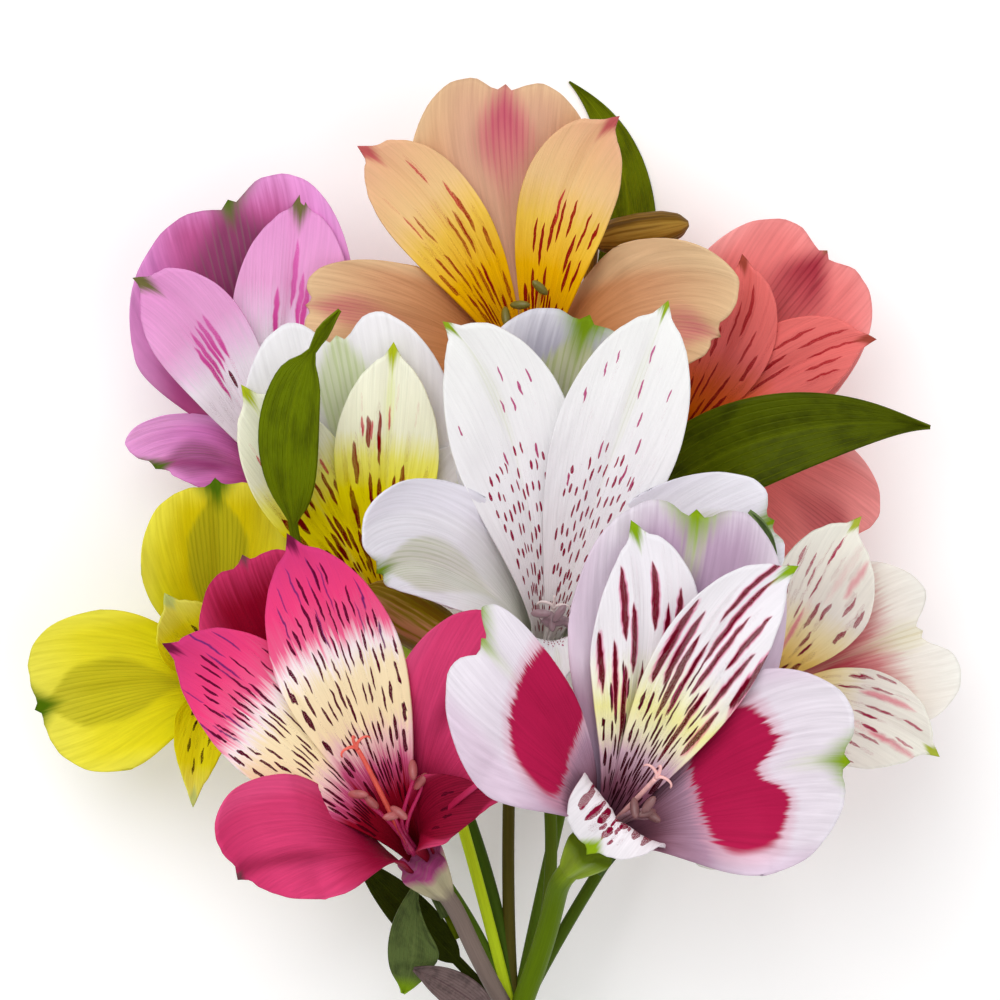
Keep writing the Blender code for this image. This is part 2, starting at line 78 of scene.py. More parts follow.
# Rays, ovaries and the main stem
OVARY_LENGTH = 10.0
OVARY_SHARES = (0, 0.12, 0.35, 0.65, 0.9, 1.0)
OVARY_SWELL = (0.36, 0.5, 0.66, 0.86, 1.0, 1.0)
SEAT_DEPTH = 0.5
SEAT_GAP = 0.3
STALK_STEPS = 50
OVARY_STEPS = 18
RAY_STEPS = 80
ROUND_SIDES = 36
STEM_STEPS = 90
STEM_SIDES = 32
STEM_PATH = [(0, 0, 0), (0.5, -30, -5), (-2, -70, -13), (0, -110, -19), (1, -138, -23)]
STEM_RADII = (3.2, 3.6)
STEM_COLOURS = ((96, 124, 34), (90, 118, 30), (104, 130, 44))

# Stamens and style
STAMENS = 6
RECEPTACLE_HEIGHT = 2.2
THREAD_SIDES = 10
FILAMENT_RADII = (0.42, 0.26)
FILAMENT_STEPS = 18
ANTHER_LENGTH = 3.8
ANTHER_RADIUS = 0.85
ANTHER_STEPS = 13
ANTHER_SIDES = 14
STYLE_RADII = (0.5, 0.4)
STYLE_STEPS = 20
BRANCH_RADII = (0.36, 0.16)
BRANCH_LENGTH = 3.2
BRANCH_STEPS = 12
BRANCH_SIDES = 8

# Leaves and buds
PETIOLE_HALF_WIDTH = 0.9
LEAF_LIFT = 0.35
BUD_STEPS = 30
BUD_STALK_RADIUS = 1.0
BUD_SHARES = (0, 0.1, 0.25, 0.5, 0.75, 0.92, 1.0)
BUD_SWELL = (0.4, 0.7, 0.95, 1.0, 0.9, 0.6, 0.15)

# Studio
WORLD_LIGHT = 0.62
FLOOR_REACH = 3.0
PAPER_WHITE = 0.98
PAPER_GLOW = 0.1
LIGHT_SIZE = 2.2
LIGHTS_AIM = (0, 0.08, 0)


@dataclass
class Form:
    """The flat outline and the curl of one kind of tepal, as shares of its length or in mm."""

    claw: float
    root: float
    shoulder: float
    side_power: float
    apex_power: float
    notch: float
    point: float
    belly: float
    ruffle: float
    crease: float


OUTER = Form(claw=1.4, root=2.9, shoulder=0.6, side_power=2.5, apex_power=2.4,
             notch=0.06, point=1.6, belly=0.25, ruffle=0.9, crease=0.7)
NOTCHED = replace(OUTER, notch=0.11)
DEEP_NOTCHED = replace(OUTER, notch=0.16)
INNER = Form(claw=1.1, root=1.9, shoulder=0.66, side_power=1.7, apex_power=1.9,
             notch=0.0, point=2.4, belly=0.35, ruffle=0.4, crease=0.9)
WEDGE = replace(INNER, shoulder=0.74, side_power=2.0, apex_power=2.0)
SMOOTH = replace(OUTER, notch=0.02)
LOWER = Form(claw=1.1, root=1.9, shoulder=0.56, side_power=1.25, apex_power=1.3,
             notch=0.0, point=2.0, belly=0.5, ruffle=0.3, crease=0.6)
BROAD = replace(NOTCHED, shoulder=0.72)
LIP = replace(LOWER, shoulder=0.55, side_power=2.0, apex_power=1.6)


@dataclass
class Tepal:
    """One tepal: where its tip is, half its width, and how the blade bows and sways.

    tone 1 marks the upper tepal, which takes the painted shade, and cleft says how deep the midrib cuts into
    its blotch.
    """

    form: Form
    tip: tuple
    half_width: float
    faced_up: float = 0.8
    lift: float = 6.0
    sway: float = 0.0
    skew: float = 0.0
    lean: float = 0.0
    tone: float = 0.0
    cleft: float = 1.0


@dataclass
class Streaks:
    """Dashes along the veins: colours near the throat and the tip, how many, how big and where."""

    colour: tuple
    far_colour: tuple
    lanes: float
    rows: float
    length: float
    width: float
    start: float
    end: float
    side: float = 0.85
    chance: float = 0.7
    fringe: tuple = None
    softness: float = 0.03


@dataclass
class Shield:
    """A wash along the midrib with curved sides: its colours, half width, start and edge.

    growth 1 lets it fade away towards the throat.
    """

    colour: tuple
    veins: tuple
    half_width: float = 0.4
    start: float = 0.4
    strength: float = 0.8
    edge: float = 0.14
    growth: float = 0.0


@dataclass
class Look:
    """How one kind of tepal is coloured, from its claw at 0 to its tip at 1."""

    ramp: tuple
    rim: tuple = None
    shield: Shield = None
    streaks: tuple = ()
    blotch: tuple = None
    # Painted shade along a fold: a soft dark arc on the side tepals.
    fold: tuple = None
    tip: tuple = (120, 170, 50)
    tip_size: float = 0.1
    # Painted shade: a darker colour laid over the middle of the upper tepal, fading out before its tip.
    painted_shade: tuple = None
    veins: float = 0.1
    feather: float = 0.05


@dataclass
class Bloom:
    """One bloom: its seat on the ovary, the way it faces, its ray, its tepals and their looks."""

    name: str
    seat: tuple
    facing: tuple
    ray_bend: tuple
    ray_radius: float
    ray_colours: tuple
    tepals: list
    outer: Look
    inner: Look
    lip: Look = None
    filament: tuple = (235, 190, 200)
    anther: tuple = (140, 100, 80)
    style: tuple = (240, 150, 140)
    droop: tuple = (0.1, -0.4, 0.9)
    style_tip: tuple = None
    anthers: tuple = None
    stamen_reach: float = 17.0
    ovary_radius: float = 3.4


CRIMSON = Bloom(
    "crimson", (-16.5, 28, 16), (-0.42, 0.62, 0.66), (-9, 14, 6), 1.5,
    ((128, 112, 104), (170, 160, 130), (150, 60, 110)),
    [
        Tepal(SMOOTH, (-46.5, 80.5, 25), 14.5, sway=4, skew=-0.15, tone=1.0),
        Tepal(INNER, (-59.5, 65.5, 32), 10.5, sway=-3.5, skew=-0.25),
        Tepal(INNER, (-38.5, 84, 34), 11.2, sway=-2.5),
        Tepal(SMOOTH, (-45.5, 27, 44), 11.5, sway=-6, skew=-0.35, lean=-0.15),
        Tepal(SMOOTH, (0, 69.5, 34), 12),
        Tepal(LOWER, (-1.5, 39.5, 32), 6.5, tone=1.0),
    ],
    # The darkest stops near the claw, here and in the inner look, are partly the crimson's own colour and
    # partly painted shade in the throat.
    outer=Look(
        ((0.0, (112, 4, 30)), (0.3, (158, 22, 62)), (0.55, (210, 62, 112)), (0.8, (220, 66, 118)),
         (1.0, (208, 56, 108))),
        rim=(224, 86, 136), fold=(120, 14, 48), tip=(110, 60, 70), tip_size=0.05, painted_shade=(136, 0, 34),
        veins=0.18,
    ),
    inner=Look(
        (
            (0.0, (104, 2, 18)), (0.23, (146, 10, 36)), (0.31, (200, 84, 130)), (0.39, (240, 200, 196)),
            (0.46, (250, 230, 184)), (0.6, (250, 232, 190)), (0.665, (250, 238, 240)), (0.73, (238, 96, 142)),
            (0.84, (236, 64, 124)), (1.0, (206, 56, 118)),
        ),
        streaks=(
            Streaks((112, 34, 100), (104, 40, 112), 17, 6, 0.9, 0.13, 0.74, 0.97, chance=0.5, softness=0.12),
            Streaks((70, 0, 16), (96, 6, 50), 15, 8, 0.92, 0.14, 0.2, 0.92, side=0.94, chance=0.86),
        ),
        tip=(110, 20, 60), tip_size=0.05, veins=0.06, feather=0.09,
    ),
    lip=Look(
        ((0.0, (110, 4, 24)), (0.4, (150, 16, 50)), (0.75, (186, 34, 80)), (1.0, (196, 50, 96))),
        rim=(206, 74, 118), shield=Shield((110, 4, 26), (76, 2, 22), 0.9, 0.2, 0.7),
        streaks=(Streaks((70, 0, 20), (86, 4, 34), 8, 6, 0.7, 0.14, 0.55, 0.9, chance=0.4),),
        tip=(150, 40, 80), tip_size=0.05, veins=0.3,
    ),
    filament=(190, 40, 96), anther=(170, 90, 90), style=(236, 100, 84),
    ovary_radius=4.2, style_tip=(-26.6, 47.8, 33),
    anthers=((-26.6, 39.9, 29), (-24.5, 38.5, 27), (-17.3, 44.1, 29), (-16.0, 42.0, 27)),
)
MAGENTA = Bloom(
    "magenta", (14, 32, 28), (0.44, 0.54, 0.72), (9, 22, 14), 1.9,
    ((88, 112, 4), (124, 146, 22), (84, 104, 6)),
    [
        Tepal(OUTER, (30.5, 88.3, 42), 18.5, sway=-3, skew=0.12, tone=1.0),
        Tepal(INNER, (19.5, 86, 48), 9.5, sway=-7, skew=-0.15),
        Tepal(INNER, (47, 78.8, 49), 8.7, lift=8, sway=8, skew=0.15),
        Tepal(BROAD, (-5.4, 67, 52), 12.2, sway=3, skew=-0.45, lean=0.42, cleft=0.0),
        Tepal(OUTER, (55.2, 46.5, 51), 17, lift=3, sway=6, skew=0.08),
        Tepal(LIP, (11.8, 30.3, 41), 9.8, 0.0, lift=15, skew=-0.2),
    ],
    outer=Look(
        (
            (0.0, (112, 66, 84)), (0.22, (130, 84, 100)), (0.38, (176, 140, 164)), (0.5, (222, 208, 222)),
            (1.0, (232, 226, 234)),
        ),
        rim=(216, 190, 212), shield=Shield((206, 214, 180), (180, 196, 120), 0.2, 0.6, 0.8, growth=1.0),
        blotch=(174, 24, 72), tip=(128, 158, 14), tip_size=0.2, painted_shade=(186, 158, 184), veins=0.14,
        feather=0.045,
    ),
    inner=Look(
        (
            (0.0, (80, 36, 54)), (0.2, (136, 84, 104)), (0.3, (210, 176, 192)), (0.38, (240, 234, 196)),
            (0.46, (240, 236, 160)), (0.54, (242, 240, 216)), (0.64, (242, 238, 242)), (1.0, (238, 234, 240)),
        ),
        streaks=(
            Streaks((40, 4, 14), (86, 2, 26), 13, 8, 0.94, 0.14, 0.12, 0.6, side=0.94, chance=0.92),
            Streaks((92, 0, 18), (118, 0, 34), 9, 2.9, 1.0, 0.21, 0.46, 0.93, side=0.9, chance=0.74,
                    fringe=(210, 30, 120)),
        ),
        tip=(134, 168, 20), tip_size=0.08, veins=0.06,
    ),
    lip=Look(
        ((0.0, (150, 40, 70)), (0.3, (214, 180, 196)), (0.6, (234, 226, 232)), (1.0, (236, 232, 236))),
        streaks=(
            Streaks((110, 4, 34), (126, 4, 44), 9, 6, 0.95, 0.34, 0.38, 0.84, side=0.75, chance=0.9),
            Streaks((116, 6, 40), (140, 20, 60), 13, 9, 0.8, 0.2, 0.4, 0.88, side=0.8, chance=0.5),
        ),
        tip=(140, 172, 20), tip_size=0.16, veins=0.12,
    ),
    filament=(190, 150, 160), anther=(130, 90, 90), style=(246, 190, 186),
    ovary_radius=4.3, style_tip=(23.5, 43.5, 44), anthers=((10.5, 37.5, 40), (13.0, 36.0, 40)),
)
WHITE = Bloom(
    "white", (5.5, 63, 6), (0.1, 0.66, 0.74), (12, 22, -2), 1.1,
    ((84, 104, 20), (110, 130, 50), (150, 160, 90)),
    [
        Tepal(SMOOTH, (13, 121.8, 17), 18.5, lift=2, sway=5, tone=1.0),
        Tepal(INNER, (-12, 120, 28), 11, sway=-10, skew=-0.1),
        Tepal(INNER, (26, 123.6, 28), 11),
        Tepal(OUTER, (-23, 77.5, 33), 10.5, sway=-10, skew=-0.3, lean=-0.4),
        Tepal(OUTER, (44, 86.5, 30), 13),
        Tepal(LOWER, (7.5, 58, 34), 6.5),
    ],
    outer=Look(
        ((0.0, (190, 196, 160)), (0.3, (222, 224, 214)), (0.6, (230, 228, 234)), (1.0, (234, 232, 240))),
        rim=(226, 222, 234), shield=Shield((184, 186, 140), (132, 148, 50), 0.46, 0.3, 0.8, growth=0.5),
        tip=(112, 140, 14), tip_size=0.18, painted_shade=(164, 160, 174), veins=0.1,
    ),
    inner=Look(
        ((0.0, (204, 196, 190)), (0.2, (236, 232, 233)), (0.5, (241, 239, 242)), (1.0, (240, 240, 238))),
        shield=Shield((228, 230, 216), (190, 196, 150), 0.16, 0.5, 0.7),
        streaks=(
            Streaks((120, 6, 34), (156, 24, 70), 15, 16, 0.7, 0.13, 0.06, 0.62, side=0.9, chance=0.8),
            Streaks((176, 60, 106), (190, 90, 140), 12, 11, 0.66, 0.1, 0.56, 0.9, chance=0.3),
        ),
        tip=(140, 166, 30), tip_size=0.04, veins=0.05,
    ),
    filament=(236, 230, 226), anther=(150, 124, 130), style=(230, 214, 210), stamen_reach=13.0,
)
CREAM = Bloom(
    "cream", (-21.5, 67.5, -6), (-0.25, 0.6, 0.76), (-8.5, 33, -6), 1.0,
    ((208, 236, 40), (176, 200, 44), (156, 176, 50)),
    [
        Tepal(NOTCHED, (-31, 118.5, 11), 18.5, sway=-1, skew=0.07),
        Tepal(INNER, (-47, 109.5, 14), 9),
        Tepal(INNER, (-21, 117, 16), 9.3, sway=-1),
        Tepal(OUTER, (-38, 86, 4), 6),
        Tepal(OUTER, (-3, 96, 10), 10),
        Tepal(LOWER, (-20.5, 62, 9), 5.5),
    ],
    outer=Look(
        ((0.0, (224, 190, 70)), (0.3, (236, 204, 160)), (0.5, (236, 230, 232)), (1.0, (242, 240, 244))),
        rim=(240, 236, 244), shield=Shield((198, 212, 140), (160, 184, 70), 0.3, 0.35, 0.9),
        tip=(128, 164, 10), tip_size=0.12, veins=0.08,
    ),
    inner=Look(
        (
            (0.0, (226, 180, 0)), (0.2, (240, 212, 0)), (0.53, (246, 236, 0)), (0.64, (246, 242, 110)),
            (0.74, (244, 244, 214)), (1.0, (246, 246, 224)),
        ),
        shield=Shield((226, 234, 150), (200, 214, 90), 0.24, 0.6, 0.7),
        streaks=(
            Streaks((96, 10, 0), (116, 6, 0), 12, 10, 0.8, 0.16, 0.08, 0.36, side=0.9, chance=0.75),
            Streaks((104, 0, 0), (140, 4, 8), 9, 4.4, 0.9, 0.2, 0.3, 0.78, side=0.92, chance=0.86),
            Streaks((196, 50, 66), (206, 76, 90), 11, 8, 0.7, 0.13, 0.68, 0.92, chance=0.5),
        ),
        tip=(176, 188, 30), tip_size=0.09, veins=0.1,
    ),
    filament=(236, 180, 90), anther=(130, 100, 40), stamen_reach=9.0,
)
PEACH = Bloom(
    "peach", (3, 108.5, -13.5), (0.0, 0.7, 0.71), (-3.5, 40, -16), 1.1,
    ((90, 84, 30), (110, 110, 40), (130, 130, 60)),
    [
        Tepal(OUTER, (-1.5, 163, 0), 17, sway=3, skew=-0.03, lean=0.06, tone=1.0),
        Tepal(WEDGE, (-27, 151.5, 6), 8.5, sway=-6),
        Tepal(WEDGE, (18, 156.5, 6), 8.4, sway=8),
        Tepal(OUTER, (-36.3, 124, 6), 10),
        Tepal(OUTER, (35.3, 118.5, 8), 12, sway=6, skew=0.17, lean=0.28),
        Tepal(LOWER, (5.5, 99, 6), 5.5),
    ],
    outer=Look(
        ((0.0, (190, 116, 44)), (0.4, (196, 128, 78)), (0.7, (206, 152, 112)), (1.0, (222, 188, 146))),
        rim=(226, 196, 154),
        shield=Shield((196, 84, 108), (176, 50, 92), 0.42, 0.5, 0.95, edge=0.34, growth=0.9),
        tip=(130, 96, 40), tip_size=0.06, painted_shade=(212, 164, 136), veins=0.14,
    ),
    inner=Look(
        (
            (0.0, (176, 104, 0)), (0.2, (206, 142, 0)), (0.46, (236, 180, 0)), (0.62, (238, 196, 76)),
            (0.76, (236, 196, 138)), (1.0, (230, 176, 140)),
        ),
        streaks=(
            Streaks((104, 16, 0), (130, 16, 6), 12, 9, 0.86, 0.13, 0.12, 0.36, side=0.9, chance=0.7),
            Streaks((128, 10, 4), (160, 26, 16), 9, 5.4, 0.94, 0.14, 0.28, 0.72, side=0.9, chance=0.76),
            Streaks((186, 40, 44), (200, 70, 74), 8, 5, 0.74, 0.1, 0.66, 0.88, chance=0.42),
        ),
        tip=(190, 90, 90), tip_size=0.1, veins=0.1,
    ),
    filament=(226, 170, 40), anther=(112, 104, 34), style=(120, 96, 24),
    anthers=((1.0, 124, 4), (4.5, 127, 4), (-1.5, 122, 4)),
)
MAUVE = Bloom(
    "mauve", (-39.5, 92, -14.9), (-0.35, 0.45, 0.82), (-2, 36, -14), 1.1,
    ((70, 96, 24), (110, 130, 60), (140, 120, 110)),
    [
        Tepal(OUTER, (-50.5, 143, -2), 20.5, sway=-2, skew=-0.2, lean=0.05, tone=1.0),
        Tepal(WEDGE, (-66.5, 128.5, 6), 8.5, sway=-8),
        Tepal(INNER, (-37.5, 143.8, 1), 10.4, 1.0, sway=-3),
        Tepal(OUTER, (-63.5, 95.5, -8), 7.2, lift=4, sway=-3, skew=-0.85, lean=-0.15),
        Tepal(OUTER, (-10.5, 95.5, -2), 7),
        Tepal(LOWER, (-40.5, 86, 2), 4.5),
    ],
    outer=Look(
        ((0.0, (190, 70, 100)), (0.35, (182, 76, 138)), (0.7, (212, 122, 192)), (1.0, (230, 154, 214))),
        rim=(232, 164, 218), shield=Shield((132, 58, 96), (130, 100, 104), 0.5, 0.35, 0.9, edge=0.34),
        fold=(140, 36, 96), tip=(80, 104, 26), tip_size=0.16, painted_shade=(186, 86, 140), veins=0.2,
    ),
    inner=Look(
        (
            (0.0, (240, 230, 244)), (0.3, (250, 244, 252)), (0.54, (248, 240, 250)), (0.64, (238, 198, 230)),
            (0.74, (234, 166, 214)), (1.0, (228, 148, 206)),
        ),
        streaks=(
            Streaks((212, 40, 140), (216, 96, 174), 13, 3.2, 0.9, 0.42, 0.42, 0.76, side=0.4, chance=0.95,
                    softness=0.2),
            Streaks((96, 6, 40), (96, 6, 40), 8, 6.5, 0.6, 0.2, 0.34, 0.6, side=0.95, chance=0.42),
        ),
        tip=(110, 104, 60), tip_size=0.12, veins=0.12,
    ),
    filament=(226, 180, 210), anther=(120, 90, 90), droop=(-0.6, 0.2, 0.5), stamen_reach=9.0,
)
CORAL = Bloom(
    "coral", (27, 97, -15), (0.3, 0.5, 0.81), (8, 36, -16), 1.1,
    ((84, 110, 24), (120, 130, 50), (150, 120, 70)),
    [
        Tepal(OUTER, (55.3, 134, -4), 17, tone=1.0),
        Tepal(INNER, (39.8, 132.7, 4), 8, sway=-6),
        Tepal(INNER, (63, 118, 4), 8, sway=5),
        Tepal(OUTER, (12.5, 103, 2), 8),
        Tepal(OUTER, (60.5, 82, -4), 13),
        Tepal(LOWER, (36, 90, 4), 5),
    ],
    outer=Look(
        ((0.0, (224, 106, 20)), (0.3, (224, 100, 92)), (0.6, (234, 118, 116)), (1.0, (236, 150, 148))),
        rim=(242, 172, 170),
        shield=Shield((156, 36, 56), (110, 10, 30), 0.44, 0.5, 0.95, edge=0.3, growth=0.9),
        tip=(96, 96, 20), tip_size=0.06, painted_shade=(230, 124, 122), veins=0.16,
    ),
    inner=Look(
        (
            (0.0, (226, 120, 0)), (0.26, (234, 122, 0)), (0.42, (234, 106, 50)), (0.6, (234, 112, 108)),
            (1.0, (234, 118, 114)),
        ),
        streaks=(
            Streaks((124, 4, 8), (176, 30, 40), 7, 3.6, 0.98, 0.12, 0.12, 0.88, side=0.92, chance=0.72),
        ),
        tip=(160, 70, 56), tip_size=0.07, veins=0.12,
    ),
    filament=(236, 150, 110), anther=(130, 90, 60), stamen_reach=9.0,
)
YELLOW = Bloom(
    "yellow", (-48.5, 56, -10), (-0.35, 0.35, 0.87), (-10, 31, -8), 1.1,
    ((90, 120, 30), (130, 150, 50), (140, 150, 40)),
    [
        Tepal(SMOOTH, (-52.5, 93.8, 1.5), 13.5, sway=-2, tone=1.0),
        Tepal(INNER, (-61, 73.5, 6), 7),
        Tepal(INNER, (-43, 74, 2), 7),
        Tepal(SMOOTH, (-85.2, 52.7, -8), 14.5, skew=-0.08),
        Tepal(OUTER, (-28, 50, 4), 10),
        Tepal(LOWER, (-56, 36.5, 8), 5.5),
    ],
    outer=Look(
        ((0.0, (180, 170, 0)), (0.4, (220, 210, 16)), (0.7, (226, 216, 40)), (1.0, (230, 222, 80))),
        rim=(230, 224, 80), shield=Shield((172, 164, 20), (134, 132, 0), 0.4, 0.2, 0.9, edge=0.1),
        tip=(74, 104, 0), tip_size=0.18, painted_shade=(206, 188, 0), veins=0.16,
    ),
    inner=Look(
        ((0.0, (176, 166, 0)), (0.4, (214, 202, 0)), (0.8, (224, 214, 14)), (1.0, (228, 222, 96))),
        streaks=(Streaks((50, 20, 0), (60, 26, 0), 8, 7, 0.8, 0.16, 0.2, 0.85, side=0.9, chance=0.5),),
        tip=(190, 200, 110), tip_size=0.1, veins=0.12,
    ),
    filament=(220, 200, 60), anther=(110, 90, 30),
)
BLUSH = Bloom(
    "blush", (41.5, 55, -10), (0.5, 0.35, 0.79), (12, 22, -8), 1.1,
    ((70, 92, 14), (110, 130, 40), (150, 150, 70)),
    [
        Tepal(DEEP_NOTCHED, (72, 67, 0), 15.8, skew=-0.15, tone=1.0),
        Tepal(INNER, (60.3, 86.8, 8), 9.4, sway=4, skew=0.1, lean=-0.15),
        Tepal(INNER, (73.5, 45.7, 10), 9, sway=2, lean=-0.15),
        Tepal(OUTER, (37, 76, 4), 9),
        Tepal(OUTER, (29, 28.5, 12), 11),
        Tepal(LOWER, (31, 50, 12), 6),
    ],
    outer=Look(
        ((0.0, (176, 60, 76)), (0.5, (192, 82, 92)), (0.64, (212, 136, 136)), (0.77, (234, 226, 216)),
         (1.0, (240, 238, 230))),
        rim=(240, 238, 232), shield=Shield((224, 218, 190), (196, 180, 130), 0.24, 0.5, 0.7, edge=0.24),
        tip=(112, 128, 20), tip_size=0.07, veins=0.08, feather=0.09,
    ),
    inner=Look(
        ((0.0, (220, 180, 70)), (0.3, (242, 212, 120)), (0.46, (244, 230, 180)), (0.6, (240, 234, 224)),
         (1.0, (240, 238, 226))),
        streaks=(
            Streaks((224, 130, 144), (226, 140, 150), 7, 2.6, 0.9, 0.3, 0.4, 0.9, side=0.6, chance=0.5,
                    softness=0.24),
            Streaks((96, 12, 26), (176, 50, 84), 9, 5.6, 0.92, 0.13, 0.16, 0.9, side=0.92, chance=0.68),
        ),
        tip=(168, 180, 60), tip_size=0.05, veins=0.08,
    ),
    filament=(236, 200, 170), anther=(130, 100, 70), stamen_reach=9.0,
)
BLOOMS = [CRIMSON, MAGENTA, WHITE, CREAM, PEACH, MAUVE, CORAL, YELLOW, BLUSH]


@dataclass
class Leaf:
    """One leaf: its root, two handles and tip, half its width, its stalk's share and its colours.

    peak above 1 moves the widest place towards the tip, and neck narrows the blade near its tip.
    """

    name: str
    root: tuple
    handles: tuple
    tip: tuple
    half_width: float
    colour: tuple
    vein: tuple
    stalk: float = 0.25
    fold: float = 0.25
    peak: float = 0.75
    neck: float = 0.0
    tip_colour: tuple = None


LEAVES = [
    Leaf("leaf_top_right", (4.3, 88, -22.5), ((17, 112, -28), (31, 148, -28)), (10, 165.5, -26), 5.6,
         (98, 112, 0), (130, 144, 4), fold=0),
    Leaf("leaf_left", (-9.5, 13.3, 2.6), ((-34, 60, 2), (-50, 99, 22)), (-30, 122.5, 20), 6.0,
         (98, 114, 0), (118, 134, 4), stalk=0.68, neck=0.75),
    Leaf("leaf_right", (19.4, 77.5, -22.5), ((20, 95, 14), (48, 106.5, 14)), (72, 102.5, 12), 8,
         (74, 84, 0), (98, 110, 6)),
    Leaf("leaf_bottom_dark", (-4.6, 3.1, -1.7), ((-9, 8, -1), (-18, 17, -2)), (-28, 27, -2), 3.6,
         (46, 54, 0), (64, 74, 4)),
    Leaf("leaf_bottom_grey", (-12, 17, 4), ((-20, 34, 5), (-15, 14, 8)), (-19.5, 3.5, 1), 4.7,
         (88, 104, 54), (110, 126, 70), tip_colour=(132, 166, 20), peak=1.2),
    Leaf("leaf_curl", (14.2, 25.9, 21.6), ((34, 50, 18), (52, 78, 35)), (39.5, 88, 35), 1.2,
         (96, 118, 66), (136, 156, 100), stalk=0.85),
    Leaf("bract_purple", (-1.2, -2.8, 3.6), ((-6, 2, 9), (-11, 6, 8)), (-17.5, 8, 5), 3.2,
         (116, 98, 96), (80, 56, 62)),
]


@dataclass
class Bud:
    """A closed bud on its own short stalk: root, handle, base of the bud, tip, radius, colours."""

    name: str
    root: tuple
    handle: tuple
    base: tuple
    tip: tuple
    radius: float
    colours: tuple


BUDS = [
    Bud("bud_top", (3.6, 86, -20.6), (13, 112, -18), (14, 136, -12), (31, 139, -10), 3.3,
        ((126, 90, 26), (160, 124, 50), (96, 66, 14))),
    Bud("bud_middle", (3.3, 46.4, -2.9), (-2, 58, 12), (-9, 64, 17), (-26, 74.5, 18), 4.6,
        ((124, 104, 0), (176, 124, 84), (116, 84, 10))),
]


# Curves


def unit(vectors):
    """One vector, or each of many, brought to length 1."""
    vectors = np.asarray(vectors, float)
    return vectors / np.linalg.norm(vectors, axis=-1, keepdims=True)


def bezier(points, count, end=1.0):
    """Points of a cubic Bezier curve with four control points, as far as a share of it."""
    a, b, c, d = (np.asarray(point, float) for point in points)
    t = np.linspace(0, end, count)[:, None]
    return (1 - t) ** 3 * a + 3 * (1 - t) ** 2 * t * b + 3 * (1 - t) * t**2 * c + t**3 * d


def lengths_along(curve):
    return np.concatenate([[0], np.cumsum(np.linalg.norm(np.diff(curve, axis=0), axis=1))])


def at(places, along, vectors):
    """Vectors that are given at some lengths along a line, at other places on it."""
    return np.stack([np.interp(places, along, vectors[:, i]) for i in range(3)], axis=-1)


def resample(curve, shares):
    """The curve's points at these shares of its length."""
    along = lengths_along(curve)
    return at(shares * along[-1], along, curve)


def smooth_path(points, count):
    """Evenly spaced points of a Catmull-Rom curve through the given ones."""
    points = np.asarray(points, float)
    ends = np.vstack([2 * points[0] - points[1], points, 2 * points[-1] - points[-2]])
    curve = []
    for a, b, c, d in zip(ends, ends[1:], ends[2:], ends[3:]):
        curve.append(bezier([b, b + (c - a) / 6, c - (d - b) / 6, c], 20)[:-1])
    curve = np.vstack(curve + [points[-1:]])
    return resample(curve, np.linspace(0, 1, count))


def directions(curve):
    return unit(np.gradient(curve, axis=0))


# Tepals


def bloom_frame(bloom, tepal):
    """(seat, facing, outward, sideways) of a tepal, with outward away from the bloom's axis."""
    seat = np.asarray(bloom.seat, float)
    facing = unit(bloom.facing)
    reach = np.asarray(tepal.tip, float) - seat
    outward = unit(reach - facing * (reach @ facing))
    return seat, facing, outward, np.cross(facing, outward)


def midrib_line(bloom, tepal):
    """The tepal's middle line from the receptacle to the tip."""
    seat, facing, outward, sideways = bloom_frame(bloom, tepal)
    tip = np.asarray(tepal.tip, float)
    root = seat + outward * tepal.form.root
    throat = root + facing * THROAT_DEPTH + outward * tepal.form.root * 0.6
    bow = root + (tip - root) * 0.66 + facing * tepal.lift + sideways * tepal.sway
    return bezier([root, throat, bow, tip], MIDRIB_STEPS)


def flat_outline(form, half_width, length, u, v):
    """Where a point u along a vein and v across lies on the flattened tepal: along and across."""
    widening = np.sin(np.pi / 2 * u**VEIN_SPREAD)
    half = form.claw + (half_width - form.claw) * widening
    crown = (1 - np.abs(v) ** form.side_power) ** (1 / form.apex_power)
    edge = form.shoulder + (1 - form.shoulder) * crown
    edge = edge - form.notch * np.exp(-((v / NOTCH_WIDTH) ** 2))
    point = form.point / length * np.clip(1 - np.abs(v) * half_width / 1.6, 0, 1) ** 1.3
    return (u * edge + point * u**6) * length, v * half


def tepal_grid(bloom, tepal, draws):
    """(points, share along, share across, u, v) over a tepal's middle surface."""
    form = tepal.form
    line = midrib_line(bloom, tepal)
    reach = lengths_along(line)[-1]
    length = reach / (1 - form.notch + form.point / reach)
    line = np.vstack([line, line[-1] + (line[-1] - line[-2]) * 30])
    tangents = directions(line)
    along = lengths_along(line)
    sideways = bloom_frame(bloom, tepal)[3]
    u = np.linspace(0, 1, ROWS + 1)
    v = np.sin(np.linspace(-np.pi / 2, np.pi / 2, COLUMNS + 1))
    u, v = np.meshgrid(u, v, indexing="ij")
    s, w = flat_outline(form, tepal.half_width, length, u, v)
    w = w * (1 + tepal.lean * np.sign(v))
    s = s + tepal.skew * w * u**2 + frayed_edge(u, v, draws)
    centre = at(s, along, line)
    forward = unit(at(s, along, tangents))
    side = unit(sideways - forward * (forward @ sideways)[..., None])
    inner = np.cross(forward, side)
    share = s / length
    forward_there = tangents[np.searchsorted(along, 0.65 * reach)]
    turn = blade_turn(tepal, forward_there, sideways) * np.clip((share - 0.1) / 0.5, 0, 1)[..., None]
    side, inner = side * np.cos(turn) + inner * np.sin(turn), inner * np.cos(turn) - side * np.sin(turn)
    points = centre + curled(tepal, share, w, side, inner)
    points += inner * hollows(tepal, share, w, draws)[..., None]
    return points, share, w / tepal.half_width, u, v


def frayed_edge(u, v, draws):
    """Small uneven scallops along the outline, in mm."""
    waves = sum(np.sin(f * v + p) for f, p in zip((9, 16, 27), draws.uniform(0, 6, 3)))
    return 0.07 * waves * u**10


